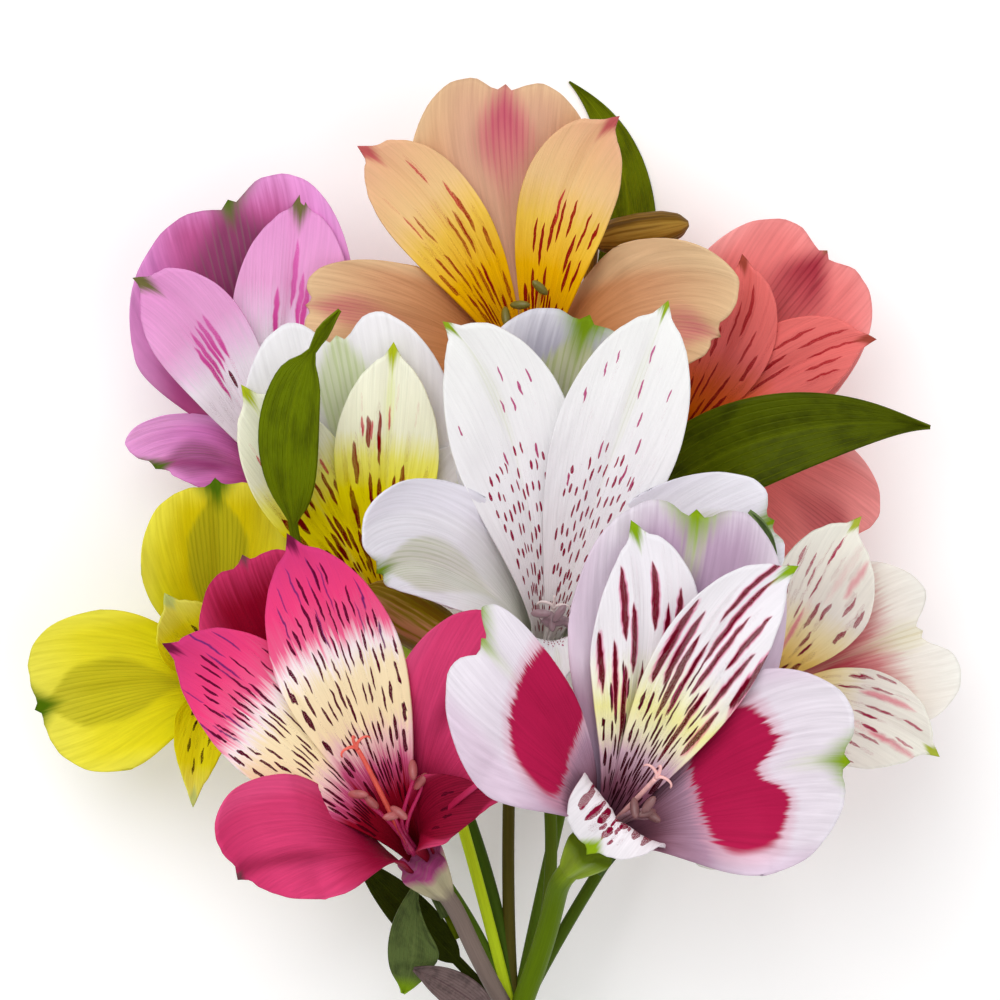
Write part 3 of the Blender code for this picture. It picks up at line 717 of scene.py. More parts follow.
def hollows(tepal, share, w, draws):
    """The crease along the midrib and the blade's slow unevenness, in mm towards its inner face."""
    open_blade = np.clip((share - 0.25) * 3, 0, 1)
    crease = -tepal.form.crease * np.exp(-((w / 1.5) ** 2)) * open_blade
    edge = np.abs(w) / tepal.half_width
    phase = draws.uniform(0, 6, 4)
    slow = 0.35 * np.sin(7 * share + phase[0]) * np.sin(3 * w / tepal.half_width + phase[1])
    fine = 0.16 * edge**2 * np.sin(23 * share + 4 * w / tepal.half_width + phase[2])
    pleats = 0.04 * np.sin(34 * w / tepal.half_width + 2 * np.sin(5 * share + phase[3]))
    return crease + (slow + fine + pleats) * open_blade


def blade_turn(tepal, forward, sideways):
    """The angle that the blade twists on its claw, given its direction at the widest place."""
    side = unit(sideways - forward * (forward @ sideways))
    inner = np.cross(forward, side)
    return tepal.faced_up * np.arctan2(-side[2], inner[2])


def curled(tepal, share, w, side, inner):
    """Offsets from the midrib: a rolled claw, a shallow belly above it and a waved edge."""
    form = tepal.form
    curl = CLAW_CURL * np.exp(-((share / CLAW_REACH) ** 2)) + form.belly * np.clip(share * 2, 0, 1)
    half = form.claw + (tepal.half_width - form.claw) * np.clip(share / form.shoulder, 0, 1)
    bend = curl / half
    out = np.sin(bend * w) / bend
    up = (1 - np.cos(bend * w)) / bend
    edge = np.abs(w) / tepal.half_width
    wave = form.ruffle * edge**2.5 * np.sin(9 * share + 1.3 * np.sign(w)) * np.clip(1.6 * share - 0.3, 0, 1)
    return side * out[..., None] + inner * (up + wave)[..., None]


# Meshes


def add_object(name, data):
    thing = bpy.data.objects.new(name, data)
    bpy.context.scene.collection.objects.link(thing)
    return thing


class Builder:
    """Collects grids and lofts, with their map coordinates, into one mesh."""

    def __init__(self):
        self.points, self.faces, self.maps, self.values = [], [], [], []
        self.count = 0

    def add(self, points, faces, coordinates, values):
        """coordinates is (n, 4): across and along the blade, across and along the veins."""
        points = np.asarray(points, float).reshape(-1, 3)
        self.points.append(points)
        self.faces += [tuple(i + self.count for i in face) for face in faces]
        self.maps.append(np.asarray(coordinates, float).reshape(-1, 4))
        self.values.append(np.broadcast_to(np.asarray(values, float), (len(points), 4)))
        self.count += len(points)

    def make(self, name):
        mesh = bpy.data.meshes.new(name)
        points = (np.vstack(self.points) + UMBEL_NODE) * MM
        mesh.from_pydata(points.tolist(), [], self.faces)
        maps = np.vstack(self.maps)
        corners = np.empty(len(mesh.loops), np.int32)
        mesh.loops.foreach_get("vertex_index", corners)
        for title, columns in (("blade", (0, 1)), ("vein", (2, 3))):
            layer = mesh.uv_layers.new(name=title)
            layer.data.foreach_set("uv", maps[corners][:, columns].astype(np.float32).ravel())
        tint = mesh.attributes.new("tint", "FLOAT_COLOR", "POINT")
        tint.data.foreach_set("color", np.vstack(self.values).astype(np.float32).ravel())
        mesh.shade_smooth()
        return add_object(name, mesh)


def grid_faces(rows, columns):
    index = np.arange(rows * columns).reshape(rows, columns)
    a, b = index[:-1, :-1].ravel(), index[:-1, 1:].ravel()
    c, d = index[1:, 1:].ravel(), index[1:, :-1].ravel()
    return np.stack([a, b, c, d], 1).tolist()


def thicken(thing, thickness):
    solidify = thing.modifiers.new("thickness", "SOLIDIFY")
    solidify.thickness = thickness * MM
    solidify.offset = 0


def loft(builder, path, radii, sides, values=(0, 0, 0, 1), shape=None):
    """A closed round body along a path. shape(angle, share) scales the radius round it."""
    path = np.asarray(path, float)
    radii = np.asarray(radii, float)
    tangents = directions(path)
    side = unit(np.cross(tangents[0], (0.31, 0.23, 0.92)))
    angles = np.arange(sides) * 2 * np.pi / sides
    shares = lengths_along(path) / lengths_along(path)[-1]
    rings, coordinates = [], []
    for centre, forward, radius, share in zip(path, tangents, radii, shares):
        side = unit(side - forward * (side @ forward))
        other = np.cross(forward, side)
        reach = radius * (shape(angles, share) if shape else np.ones(sides))
        ring = np.outer(reach * np.cos(angles), side) + np.outer(reach * np.sin(angles), other)
        rings.append(centre + ring)
        turn = angles / (2 * np.pi)
        coordinates.append(np.stack([turn, np.full(sides, share), turn, np.full(sides, share)], 1))
    points = np.vstack(rings)
    points[:, 2] = np.maximum(points[:, 2], SURFACE)
    faces = []
    for ring in range(len(path) - 1):
        for i in range(sides):
            j = (i + 1) % sides
            first, last = ring * sides, (ring + 1) * sides
            faces.append((first + i, first + j, last + j, last + i))
    faces.append(tuple(range(sides - 1, -1, -1)))
    faces.append(tuple(range(len(points) - sides, len(points))))
    builder.add(points, faces, np.vstack(coordinates), values)


# Materials


def linear(colour):
    """A linear colour with alpha from one of 0 to 255."""
    share = np.asarray(colour, float) / 255
    return (*np.where(share <= 0.04045, share / 12.92, ((share + 0.055) / 1.055) ** 2.4), 1.0)


class Graph:
    """Short names for the shader nodes used here."""

    def __init__(self, tree):
        self.tree = tree

    def put(self, socket, value):
        if isinstance(value, bpy.types.NodeSocket):
            self.tree.links.new(value, socket)
        else:
            socket.default_value = value

    def add(self, kind):
        return self.tree.nodes.new("ShaderNode" + kind)

    def fill(self, node, *values):
        """Gives a node's first inputs these values. Returns its first output."""
        for socket, value in zip(node.inputs, values):
            self.put(socket, value)
        return node.outputs[0]

    def math(self, operation, *values):
        node = self.add("Math")
        node.operation = operation
        return self.fill(node, *values)

    def times(self, value, *factors):
        for factor in factors:
            value = self.math("MULTIPLY", value, factor)
        return value

    def scaled(self, value, factor, offset):
        return self.math("MULTIPLY_ADD", value, factor, offset)

    def plus(self, first, second):
        return self.math("ADD", first, second)

    def minus(self, first, second):
        return self.math("SUBTRACT", first, second)

    def over(self, first, second):
        return self.math("DIVIDE", first, second)

    def power(self, value, exponent):
        return self.math("POWER", value, exponent)

    def size(self, value):
        return self.math("ABSOLUTE", value)

    def from_middle(self, across):
        """0 on the midrib and 1 on either edge."""
        return self.size(self.scaled(across, 2.0, -1.0))

    def smooth(self, value, low, high):
        """0 at low and 1 at high, with a smooth step between. low may be the higher number."""
        node = self.add("MapRange")
        node.interpolation_type = "SMOOTHSTEP"
        return self.fill(node, value, low, high)

    def mix(self, share, first, second, blend="MIX"):
        node = self.add("Mix")
        node.data_type = "RGBA"
        node.blend_type = blend
        for index, value in ((0, share), (6, first), (7, second)):
            self.put(node.inputs[index], value)
        return node.outputs[2]

    def paint(self, colour, mask, over):
        """The colour with another of 0 to 255 laid over it where the mask says."""
        return self.mix(mask, colour, linear(over))

    def shaded(self, colour, factor):
        return self.mix(1.0, colour, self.combine(factor, factor, factor), "MULTIPLY")

    def ramp(self, share, stops):
        """A colour that runs through the stops as the share rises."""
        node = self.add("ValToRGB")
        elements = node.color_ramp.elements
        while len(elements) < len(stops):
            elements.new(0.5)
        for element, (place, colour) in zip(elements, stops):
            element.position = place
            element.color = linear(colour)
        return self.fill(node, share)

    def combine(self, x, y, z=0.0):
        return self.fill(self.add("CombineXYZ"), x, y, z)

    def separate(self, vector):
        node = self.add("SeparateXYZ")
        self.fill(node, vector)
        return node.outputs

    def noise(self, vector, scale, detail=2.0):
        node = self.add("TexNoise")
        node.inputs["Scale"].default_value = scale
        node.inputs["Detail"].default_value = detail
        return self.fill(node, vector)

    def grain(self, across, along, stretch, seed, scale, detail):
        """Noise in long fibres: stretch says how fast it changes across and along."""
        place = self.combine(self.times(across, stretch[0]), self.times(along, stretch[1]), seed)
        return self.noise(place, scale, detail)

    def draw(self, vector):
        """Three random numbers for each place of a vector."""
        node = self.add("TexWhiteNoise")
        self.fill(node, vector)
        return self.separate(node.outputs["Color"])

    def uv(self, name):
        node = self.add("UVMap")
        node.uv_map = name
        return self.separate(node.outputs[0])

    def tint(self):
        node = self.add("Attribute")
        node.attribute_name = "tint"
        return node.outputs["Color"]

    def bump(self, height, distance, strength=1.0):
        node = self.add("Bump")
        node.inputs["Distance"].default_value = distance
        node.inputs["Strength"].default_value = strength
        self.put(node.inputs["Height"], height)
        return node.outputs[0]


STREAK_INPUTS = (
    "Across", "Along", "Seed", "Lanes", "Rows", "Length",
    "Width", "Start", "End", "Side", "Chance", "Softness",
)


def streak_group():
    """A node group: the mask of lens-shaped dashes that lie along the veins."""
    tree = bpy.data.node_groups.new("streaks", "ShaderNodeTree")
    for name in STREAK_INPUTS:
        tree.interface.new_socket(name, in_out="INPUT", socket_type="NodeSocketFloat")
    tree.interface.new_socket("Mask", in_out="OUTPUT", socket_type="NodeSocketFloat")
    given = tree.nodes.new("NodeGroupInput").outputs[:len(STREAK_INPUTS)]
    across, along, seed, lanes, rows, length, width, start, end, side, chance, softness = given
    g = Graph(tree)
    wobble = g.grain(across, along, (1.0, 6.0), seed, 3.0, 2.0)
    across = g.plus(across, g.times(g.minus(wobble, 0.5), 0.05))
    x = g.times(across, lanes)
    lane = g.math("FLOOR", x)
    lane_draw = g.draw(g.combine(lane, seed, 3.7))
    y = g.plus(g.times(along, rows), lane_draw[0])
    row = g.math("FLOOR", y)
    cell = g.draw(g.combine(lane, row, seed))
    reach = g.times(length, g.scaled(cell[2], 0.4, 0.6))
    off = g.scaled(g.minus(y, row), 2.0, -1.0)
    t = g.over(off, reach)
    lens = g.minus(1.0, g.power(g.size(t), 3.6))
    opening = g.math("SINE", g.times(g.power(along, VEIN_SPREAD), QUARTER_TURN))
    half = g.times(width, g.scaled(cell[0], 0.5, 0.7))
    half = g.math("MINIMUM", g.over(half, g.scaled(opening, 0.82, 0.18)), 0.4)
    middle = g.scaled(g.minus(cell[1], 0.5), 0.4, 0.5)
    away = g.size(g.minus(g.minus(x, lane), middle))
    inside = g.minus(g.times(half, lens), away)
    mask = g.smooth(inside, g.times(softness, -0.6), g.times(softness, 0.9))
    centre = g.over(g.minus(g.plus(row, 0.5), lane_draw[0]), rows)
    lane_side = g.from_middle(g.over(g.plus(lane, 0.5), lanes))
    drawn = g.draw(g.combine(row, lane, g.plus(seed, 9.1)))[0]
    tests = (
        g.math("LESS_THAN", drawn, chance),
        g.math("GREATER_THAN", centre, start),
        g.math("LESS_THAN", centre, end),
        g.math("LESS_THAN", lane_side, side),
    )
    tree.links.new(g.times(mask, *tests), tree.nodes.new("NodeGroupOutput").inputs[0])
    return tree


STREAKS = streak_group()


def streak_mask(g, streaks, across, along, seed, wider=0.0, softness=None):
    node = g.add("Group")
    node.node_tree = STREAKS
    return g.fill(
        node, across, along, seed, streaks.lanes, streaks.rows, streaks.length, streaks.width + wider,
        streaks.start, streaks.end, streaks.side, streaks.chance, softness or streaks.softness,
    )


def new_material(name, roughness, specular):
    """(material, its graph, its Principled node) with the plain numbers set."""
    material = bpy.data.materials.new(name)
    material.use_nodes = True
    shader = material.node_tree.nodes["Principled BSDF"]
    shader.inputs["Roughness"].default_value = roughness
    shader.inputs["Specular IOR Level"].default_value = specular
    return material, Graph(material.node_tree), shader


def connect(g, shader, colour, normal, roughness=None):
    g.put(shader.inputs["Base Color"], colour)
    g.put(shader.inputs["Normal"], normal)
    if roughness is not None:
        g.put(shader.inputs["Roughness"], roughness)


def petal_material(name, look):
    """A tepal's colours along its blade, its wash, blotch, streaks, tip, veins and fine ribs."""
    material, g, shader = new_material(name, roughness=0.5, specular=0.04)
    across, along, _ = g.uv("blade")
    vein, reach, _ = g.uv("vein")
    tone, seed, cleft = g.separate(g.tint())
    side = g.from_middle(across)
    fibres = g.grain(vein, reach, (26.0, 1.6), seed, 2.2, 4.0)
    cloud = g.noise(g.combine(across, along, seed), 4.0, 3.0)
    loose = g.minus(fibres, 0.5)
    feathered = g.scaled(loose, look.feather * 2, along)
    colour = g.ramp(feathered, look.ramp)
    # Painted shade over the middle of the upper tepal (tone 1), fading towards its edges and before its tip.
    if look.painted_shade:
        painted_shade_core = g.times(g.smooth(g.plus(side, g.times(cloud, 0.3)), 1.05, 0.5), tone)
        colour = g.paint(colour, g.times(painted_shade_core, g.smooth(feathered, 1.06, 0.86)), look.painted_shade)
    if look.rim:
        colour = g.paint(colour, g.times(g.smooth(side, 0.7, 1.0), 0.6), look.rim)
    if look.shield:
        colour = shield_wash(g, look.shield, colour, side, vein, along, loose, tone)
    # Painted shade along a fold on the side tepals.
    if look.fold:
        colour = g.paint(colour, painted_fold_shade_mask(g, across, along, tone), look.fold)
    if look.blotch:
        near = blotch_nearness(g, across, feathered, cleft)
        colour = blotched(g, look.blotch, colour, near, tone)
    for streaks in look.streaks:
        colour = streaked(g, streaks, colour, vein, reach, along, seed)
    colour = g.paint(colour, tip_mask(g, look, side, along, loose), look.tip)
    lines = g.times(g.scaled(loose, look.veins * 3, 1.0), g.scaled(cloud, 0.16, 0.92))
    normal = g.bump(g.scaled(fibres, 0.7, cloud), 0.00035, 0.6)
    connect(g, shader, g.shaded(colour, lines), normal, g.scaled(cloud, 0.2, 0.42))
    return material


def shield_wash(g, shield, colour, side, vein, along, loose, tone):
    """Tints the ground along the midrib inside curved sides that close at the tip, with darker veins."""
    closing = g.times(g.smooth(along, shield.start, shield.start + 0.4), g.smooth(along, 1.03, 0.72))
    inside = g.plus(g.minus(g.times(closing, shield.half_width), side), g.times(loose, 0.16))
    mask = g.times(
        g.smooth(inside, -0.4 * shield.edge, 0.6 * shield.edge), shield.strength, g.scaled(tone, 0.35, 0.65),
        g.scaled(g.smooth(along, shield.start, 0.95), shield.growth, 1.0 - shield.growth),
    )
    ribs = g.smooth(g.math("COSINE", g.scaled(vein, SHIELD_RIBS, g.times(loose, 6.0))), 0.2, 1.0)
    return g.paint(g.paint(colour, mask, shield.colour), g.times(mask, ribs, 0.5), shield.veins)


def tip_mask(g, look, side, along, loose):
    """A small pointed tip that runs down into the veins."""
    reach = g.scaled(loose, 0.1, g.scaled(side, -0.42, along))
    return g.smooth(reach, 1.0 - look.tip_size, 1.02 - look.tip_size / 3)


def painted_fold_shade_mask(g, across, along, tone):
    """Painted shade of a fold: a soft dark arc that runs from the tip to the throat, on the side tepals."""
    middle = g.scaled(g.times(along, g.minus(1.0, along)), 0.5, 0.46)
    away = g.size(g.minus(across, middle))
    return g.times(g.smooth(away, 0.11, 0.0), g.smooth(along, 0.4, 0.6), 0.55, g.minus(1.0, tone))


def blotch_nearness(g, across, along, cleft):
    """Below 1 inside a broad patch over the midrib, which cuts into its outer edge as far as cleft says."""
    signed = g.scaled(across, 2.0, -1.0)
    side = g.size(signed)
    slant = g.times(g.minus(1.0, cleft), 0.14)
    notch = g.times(g.smooth(side, 0.3, 0.0), g.smooth(along, 0.5, 0.6), 0.1)
    place = g.scaled(notch, cleft, g.scaled(signed, slant, along))
    x = g.over(g.minus(place, 0.56), 0.165)
    y = g.over(side, 0.74)
    return g.plus(g.power(g.size(x), 2.6), g.power(y, 2.6))


def blotched(g, blotch, colour, near, tone):
    """Paints the patch of the side tepals over a paler glow round it."""
    aside = g.minus(1.0, tone)
    glow = tuple(0.45 * value + 132 for value in blotch)
    colour = g.paint(colour, g.times(g.smooth(near, 2.1, 1.0), 0.5, aside), glow)
    return g.paint(colour, g.times(g.smooth(near, 1.25, 0.85), aside), blotch)


def streaked(g, streaks, colour, vein, reach, along, seed):
    """Paints the dashes, over a soft fringe where they have one."""
    if streaks.fringe:
        fringe = streak_mask(g, streaks, vein, reach, seed, wider=0.13, softness=0.16)
        colour = g.paint(colour, g.times(fringe, 0.8), streaks.fringe)
    ink = g.ramp(along, ((streaks.start, streaks.colour), (streaks.end, streaks.far_colour)))
    return g.mix(streak_mask(g, streaks, vein, reach, seed), colour, ink)


def ray_material(name, colours):
    """A flower stalk with its ovary: three colours from the foot to the crown, ribs with painted shade
    between them, and fine lines.
    """
    material, g, shader = new_material(name, roughness=0.4, specular=0.06)
    round_it, along, _ = g.uv("blade")
    fibres = g.grain(round_it, along, (30.0, 3.0), 0.0, 1.5, 3.0)
    ribs = g.scaled(g.math("COSINE", g.times(round_it, SIX_TURNS)), 0.5, 0.5)
    foot, body, crown = colours
    share = g.scaled(g.minus(fibres, 0.5), 0.06, along)
    colour = g.ramp(share, ((0.0, foot), (0.72, foot), (0.84, body), (0.93, body), (1.0, crown)))
    # Painted shade in the grooves between the ovary's ribs and painted light on their crests.
    darker = g.scaled(g.times(ribs, g.smooth(along, 0.7, 0.85)), 0.2, 0.88)
    lines = g.times(darker, g.scaled(fibres, 0.5, 0.85))
    connect(g, shader, g.shaded(colour, lines), g.bump(fibres, 0.0003, 0.5))
    return material


def leaf_material(leaf):
    """A leaf with long parallel veins, a paler midrib and a soft gloss."""
    material, g, shader = new_material(leaf.name, roughness=0.38, specular=0.05)
    across, along, _ = g.uv("blade")
    cloud = g.grain(across, along, (2.0, 7.0), 1.0, 2.0, 4.0)
    grain = g.grain(across, along, (9.0, 22.0), 2.0, 3.0, 3.0)
    veins = g.smooth(g.math("COSINE", g.times(across, LEAF_VEINS)), 0.55, 1.0)
    dark = tuple(0.72 * value for value in leaf.colour)
    colour = g.ramp(cloud, ((0.3, dark), (0.55, leaf.colour)))
    colour = g.paint(colour, g.times(veins, 0.3), leaf.vein)
    colour = g.paint(colour, g.times(g.smooth(g.from_middle(across), 0.1, 0.0), 0.5), leaf.vein)
    if leaf.tip_colour:
        colour = g.paint(colour, g.smooth(along, 0.85, 0.97), leaf.tip_colour)
    colour = g.shaded(colour, g.scaled(grain, 0.24, 0.88))
    normal = g.bump(g.scaled(veins, -0.6, grain), 0.0003, 0.7)
    connect(g, shader, colour, normal, g.scaled(grain, 0.2, 0.3))
    return material


def bud_material(bud):
    """A closed bud: two colours in long stripes over a darker one."""
    material, g, shader = new_material(bud.name, roughness=0.42, specular=0.06)
    round_it, along, _ = g.uv("blade")
    fibres = g.grain(round_it, along, (18.0, 2.0), 0.0, 1.6, 3.0)
    base, light, dark = bud.colours
    stripes = g.math("COSINE", g.times(round_it, THREE_TURNS))
    colour = g.ramp(g.scaled(stripes, 0.12, fibres), ((0.34, dark), (0.48, base), (0.64, light)))
    connect(g, shader, colour, g.bump(fibres, 0.0004, 0.6))
    return material


def tinted_material(name):
    """Takes its colour from the mesh, with a fine mottle."""
    material, g, shader = new_material(name, roughness=0.35, specular=0.5)
    mottle = g.noise(g.add("TexCoord").outputs["Object"], 900.0)
    colour = g.shaded(g.tint(), g.scaled(mottle, 0.5, 0.75))
    connect(g, shader, colour, g.bump(mottle, 0.0002, 0.5))
    return material


# Pieces


def place(thing, material, slot, *nodes):
    """Gives a piece its material and its body, and hides the solids it stands for. slot is not used."""
    thing.data.materials.append(material)
    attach(thing, "root")
    if nodes:
        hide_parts(*nodes)


def kind_of(bloom, tepal):
    if bloom.lip and tepal.form in (LOWER, LIP):
        return "lip"
    return "outer" if tepal.form.notch > 0 else "inner"


def make_tepals(bloom, number):
    for kind, look in (("outer", bloom.outer), ("inner", bloom.inner), ("lip", bloom.lip)):
        chosen = [i for i, tepal in enumerate(bloom.tepals) if kind_of(bloom, tepal) == kind]
        if not chosen:
            continue
        builder = Builder()
        for index in chosen:
            tepal = bloom.tepals[index]
            draws = np.random.default_rng(100 * number + index)
            points, share, across, u, v = tepal_grid(bloom, tepal, draws)
            maps = np.stack([across / 2 + 0.5, share, v / 2 + 0.5, u], -1)
            values = (tepal.tone, 0.137 * (number * 7 + index), tepal.cleft, 1)
            builder.add(points, grid_faces(*u.shape), maps, values)
        thing = builder.make(f"{bloom.name}_{kind}_tepals")
        thicken(thing, PETAL_THICKNESS)
        nodes = [bloom.name + "_tepals"] if kind == "outer" else []
        place(thing, petal_material(thing.name, look), bloom.name + "_petal", *nodes)


def ribbed(angles, share):
    """Six ribs that grow out of the ray into the ovary."""
    swell = np.clip((share - 0.72) / 0.12, 0, 1)
    return 1 + 0.13 * swell * np.cos(6 * angles)


def make_ray(bloom):
    """A flower stalk that swells into the ribbed ovary under its bloom."""
    facing = unit(bloom.facing)
    seat = np.asarray(bloom.seat, float) - facing * (SEAT_DEPTH + SEAT_GAP)
    base = seat - facing * OVARY_LENGTH
    stalk = bezier([(0, -2, 0), bloom.ray_bend, base - facing * 8, base], STALK_STEPS)
    steps = np.linspace(0.06, 1.0, OVARY_STEPS)
    whole = np.vstack([stalk, base + np.outer(steps * OVARY_LENGTH, facing)])
    swelling = np.interp(steps, OVARY_SHARES, OVARY_SWELL) * bloom.ovary_radius
    along = lengths_along(whole)
    shares = np.linspace(0, 1, RAY_STEPS)
    radii = np.concatenate([np.full(len(stalk), bloom.ray_radius), swelling])
    radii = np.interp(shares * along[-1], along, radii)
    builder = Builder()
    loft(builder, resample(whole, shares), radii, ROUND_SIDES, shape=ribbed)
    thing = builder.make("ray_" + bloom.name)
    place(thing, ray_material(thing.name, bloom.ray_colours), "stem_green")


def faintly_edged(angles, share):
    """Five soft edges that turn slowly along the main stem."""
    return 1 + 0.02 * np.cos(5 * angles + 3 * share)


def make_stem():
    builder = Builder()
    radii = np.linspace(*STEM_RADII, STEM_STEPS)
    loft(builder, smooth_path(STEM_PATH, STEM_STEPS), radii, STEM_SIDES, shape=faintly_edged)
    thing = builder.make("main_stem")
    place(thing, ray_material(thing.name, STEM_COLOURS), "stem_green", "stem")


def stamen_ends(bloom):
    """Where each anther starts: given ones first, the rest spread in a drooping fan."""
    seat = np.asarray(bloom.seat, float)
    facing = unit(bloom.facing)
    droop = unit(bloom.droop)
    across = unit(np.cross(facing, droop))
    middle = (STAMENS - 1) / 2
    ends = [np.asarray(end, float) for end in bloom.anthers or ()]
    for index in range(len(ends), STAMENS):
        spread = (index - middle) / middle
        reach = bloom.stamen_reach + 2 * np.cos(2.1 * index)
        ends.append(seat + unit(facing + 0.25 * droop + 0.2 * spread * across) * reach)
    return ends


def grooved(angles, share):
    """The furrows along an anther."""
    return 1 - 0.18 * np.abs(np.cos(angles)) ** 6


def thread(builder, bends, radii, steps, colour, sides=THREAD_SIDES):
    """A thin round thread along a Bezier curve, with its first and last radius."""
    loft(builder, bezier(bends, steps), np.linspace(*radii, steps), sides, linear(colour))


def make_stamens(bloom):
    """Tapered filaments with grooved anthers, and a style with three curled branches."""
    facing = unit(bloom.facing)
    start = np.asarray(bloom.seat, float) + facing * RECEPTACLE_HEIGHT
    swell = np.sqrt(1 - np.linspace(-0.98, 0.98, ANTHER_STEPS) ** 2)
    builder = Builder()
    for index, end in enumerate(stamen_ends(bloom)):
        foot = start + unit(np.cross(facing, (np.cos(index), np.sin(index), 0.3))) * 0.7
        bends = [foot, foot + facing * 9, end - facing * 3, end]
        thread(builder, bends, FILAMENT_RADII, FILAMENT_STEPS, bloom.filament)
        axis = unit((np.cos(2.4 * index), np.sin(2.4 * index), 0.5))
        body = end + np.outer(np.linspace(-0.5, 0.5, ANTHER_STEPS) * ANTHER_LENGTH, axis)
        loft(builder, body, swell * ANTHER_RADIUS + 0.02, ANTHER_SIDES, linear(bloom.anther), grooved)
    make_style(bloom, builder, start)
    thing = builder.make(bloom.name + "_style_and_stamens")
    place(thing, tinted_material(thing.name), "stamens", bloom.name + "_stamens")


def make_style(bloom, builder, start):
    facing = unit(bloom.facing)
    tip = np.asarray(bloom.style_tip or start + facing * (bloom.stamen_reach - 3), float)
    bends = [start, start + facing * 7, tip - facing * 4, tip]
    thread(builder, bends, STYLE_RADII, STYLE_STEPS, bloom.style)
    across = unit(np.cross(facing, (0, 0, 1)))
    for turn in (-1, 0, 1):
        away = unit(across * turn * 1.2 + facing * 0.6 + np.array((0, 0.5, 0.2)) * (turn == 0))
        curl = tip + away * BRANCH_LENGTH
        bends = [tip, tip + facing * 1.6, curl + facing * 0.8, curl - facing]
        thread(builder, bends, BRANCH_RADII, BRANCH_STEPS, bloom.style, BRANCH_SIDES)


def leaf_grid(leaf):
    """(points, share along, share across) of a leaf: a narrow stalk, then a blade folded along its rib."""
    line = bezier([leaf.root, *leaf.handles, leaf.tip], LEAF_STEPS)
    line[:, 2] = np.maximum(line[:, 2], SURFACE + LEAF_LIFT)
    shares = np.linspace(0, 1, LEAF_ROWS + 1)
    centre = resample(line, shares)
    forward = unit(resample(directions(line), shares))
    side = unit(np.cross(forward, (0, 0, 1)))
    up = np.cross(side, forward)
    blade = np.clip((shares - leaf.stalk) / (1 - leaf.stalk), 0, 1)
    swell = np.sin(np.pi * blade**leaf.peak) ** 0.85
    half = PETIOLE_HALF_WIDTH + (leaf.half_width - PETIOLE_HALF_WIDTH) * swell
    half = half * (1 - 0.8 * shares**12) * (1 - leaf.neck * np.exp(-(((shares - 0.93) / 0.025) ** 2)))
    v = np.linspace(-1, 1, LEAF_COLUMNS + 1)
    width = half[:, None] * v[None, :]
    rise = leaf.fold * np.abs(width) * np.clip(blade * 6, 0, 1)[:, None]
    wave = 0.3 * np.sin(14 * shares) * np.clip(blade * 4, 0, 1) * (leaf.fold > 0)
    wave = wave[:, None] * v[None, :] ** 2
    points = centre[:, None] + side[:, None] * width[..., None] + up[:, None] * (rise + wave)[..., None]
    return points, shares, v


def make_leaf(leaf):
    points, shares, v = leaf_grid(leaf)
    along, across = np.meshgrid(shares, v, indexing="ij")
    maps = np.stack([across / 2 + 0.5, along, across / 2 + 0.5, along], -1)
    builder = Builder()
    builder.add(points, grid_faces(*along.shape), maps, (0, 0, 0, 1))
    thing = builder.make(leaf.name + "_blade")
    thicken(thing, LEAF_THICKNESS)
    slot = "bract_purple" if leaf.name == "bract_purple" else "leaf_green"
    place(thing, leaf_material(leaf), slot, leaf.name)


def three_edged(angles, share):
    """The soft edges of a closed bud, above its stalk."""
    return 1 + 0.07 * (share > 0.4) * np.abs(np.cos(1.5 * angles))


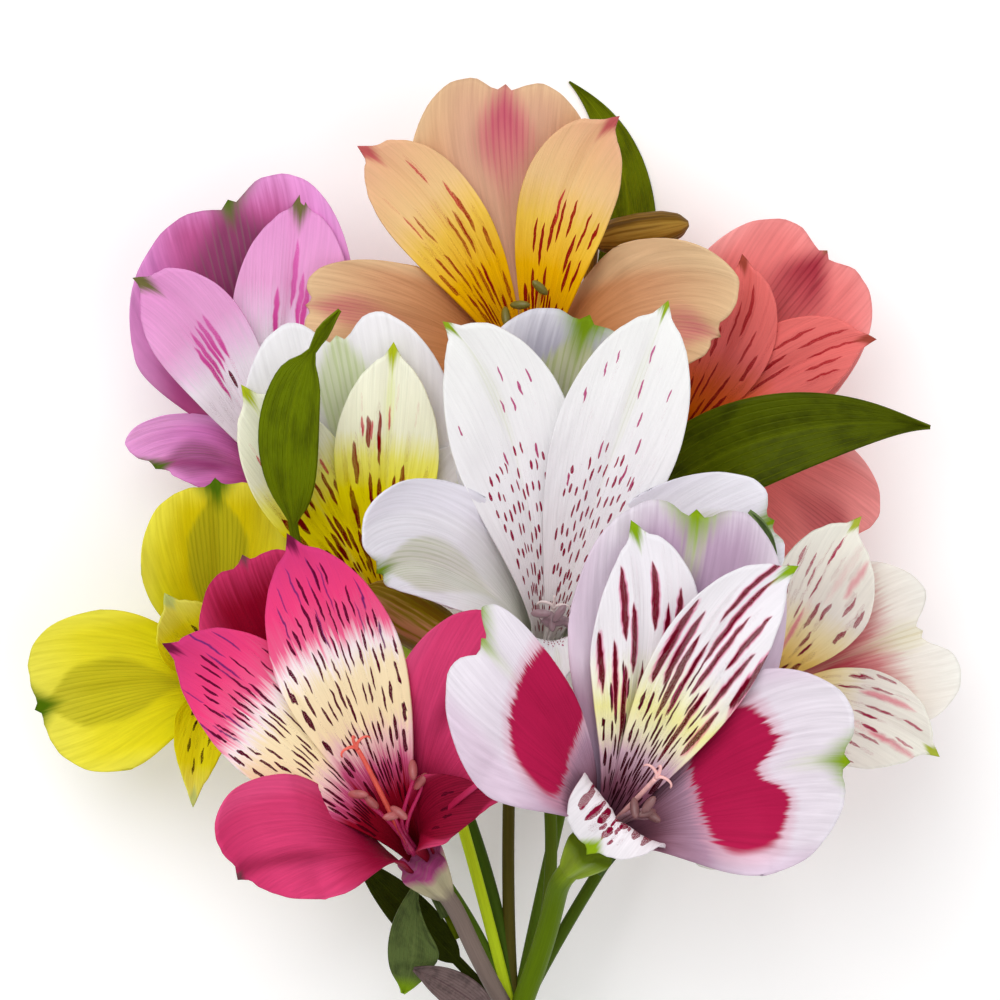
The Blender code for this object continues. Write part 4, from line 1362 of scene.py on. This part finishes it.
def make_bud(bud):
    base, tip = np.asarray(bud.base, float), np.asarray(bud.tip, float)
    stalk = bezier([bud.root, bud.handle, base, base], BUD_STEPS, end=0.96)
    steps = np.linspace(0.04, 1, BUD_STEPS)
    path = np.vstack([stalk, base + np.outer(steps, tip - base)])
    swelling = np.interp(steps, BUD_SHARES, BUD_SWELL) * bud.radius
    radii = np.concatenate([np.full(len(stalk), BUD_STALK_RADIUS), swelling])
    builder = Builder()
    loft(builder, path, radii, ROUND_SIDES, shape=three_edged)
    thing = builder.make(bud.name + "_body")
    place(thing, bud_material(bud), "bud_olive", bud.name)


# Studio


def make_studio():
    """A pale paper floor under a white sky and two wide soft lights."""
    scene = bpy.context.scene
    scene.view_settings.view_transform = "Standard"
    world = bpy.data.worlds.new("studio")
    world.use_nodes = True
    sky = world.node_tree.nodes["Background"]
    sky.inputs["Color"].default_value = (1, 1, 1, 1)
    sky.inputs["Strength"].default_value = WORLD_LIGHT
    scene.world = world
    make_floor()
    softbox("key", (-0.75, 1.2, 2.2), energy=34.0)
    softbox("fill", (1.3, -0.5, 2.0), energy=12.0)


def make_floor():
    """A large sheet of paper that glows a little, as on a light table."""
    mesh = bpy.data.meshes.new("floor")
    corners = [(x * FLOOR_REACH, y * FLOOR_REACH, 0) for x, y in ((-1, -1), (1, -1), (1, 1), (-1, 1))]
    mesh.from_pydata(corners, [], [(0, 1, 2, 3)])
    floor = add_object("floor", mesh)
    paper, _, shader = new_material("floor_paper", roughness=0.9, specular=0.1)
    shader.inputs["Base Color"].default_value = (PAPER_WHITE, PAPER_WHITE, PAPER_WHITE, 1)
    shader.inputs["Emission Color"].default_value = (1, 1, 1, 1)
    shader.inputs["Emission Strength"].default_value = PAPER_GLOW
    mesh.materials.append(paper)


def softbox(name, place, energy):
    light = bpy.data.lights.new(name, "AREA")
    light.size = LIGHT_SIZE
    light.energy = energy
    lamp = add_object(name, light)
    lamp.location = place
    aim = unit(np.array(LIGHTS_AIM) - np.asarray(place))
    lamp.rotation_euler = (np.arccos(-aim[2]), 0, np.arctan2(-aim[0], aim[1]))


def make_camera():
    data = bpy.data.cameras.new("camera")
    data.lens = LENS
    data.sensor_width = 36
    data.clip_end = 10
    camera = add_object("camera", data)
    camera.location = (UMBEL_NODE + CAMERA_OVER_NODE) * MM
    bpy.context.scene.camera = camera


make_studio()
make_camera()
make_stem()
for number, bloom in enumerate(BLOOMS):
    make_ray(bloom)
    make_tepals(bloom, number)
    make_stamens(bloom)
for leaf in LEAVES:
    make_leaf(leaf)
for bud in BUDS:
    make_bud(bud)
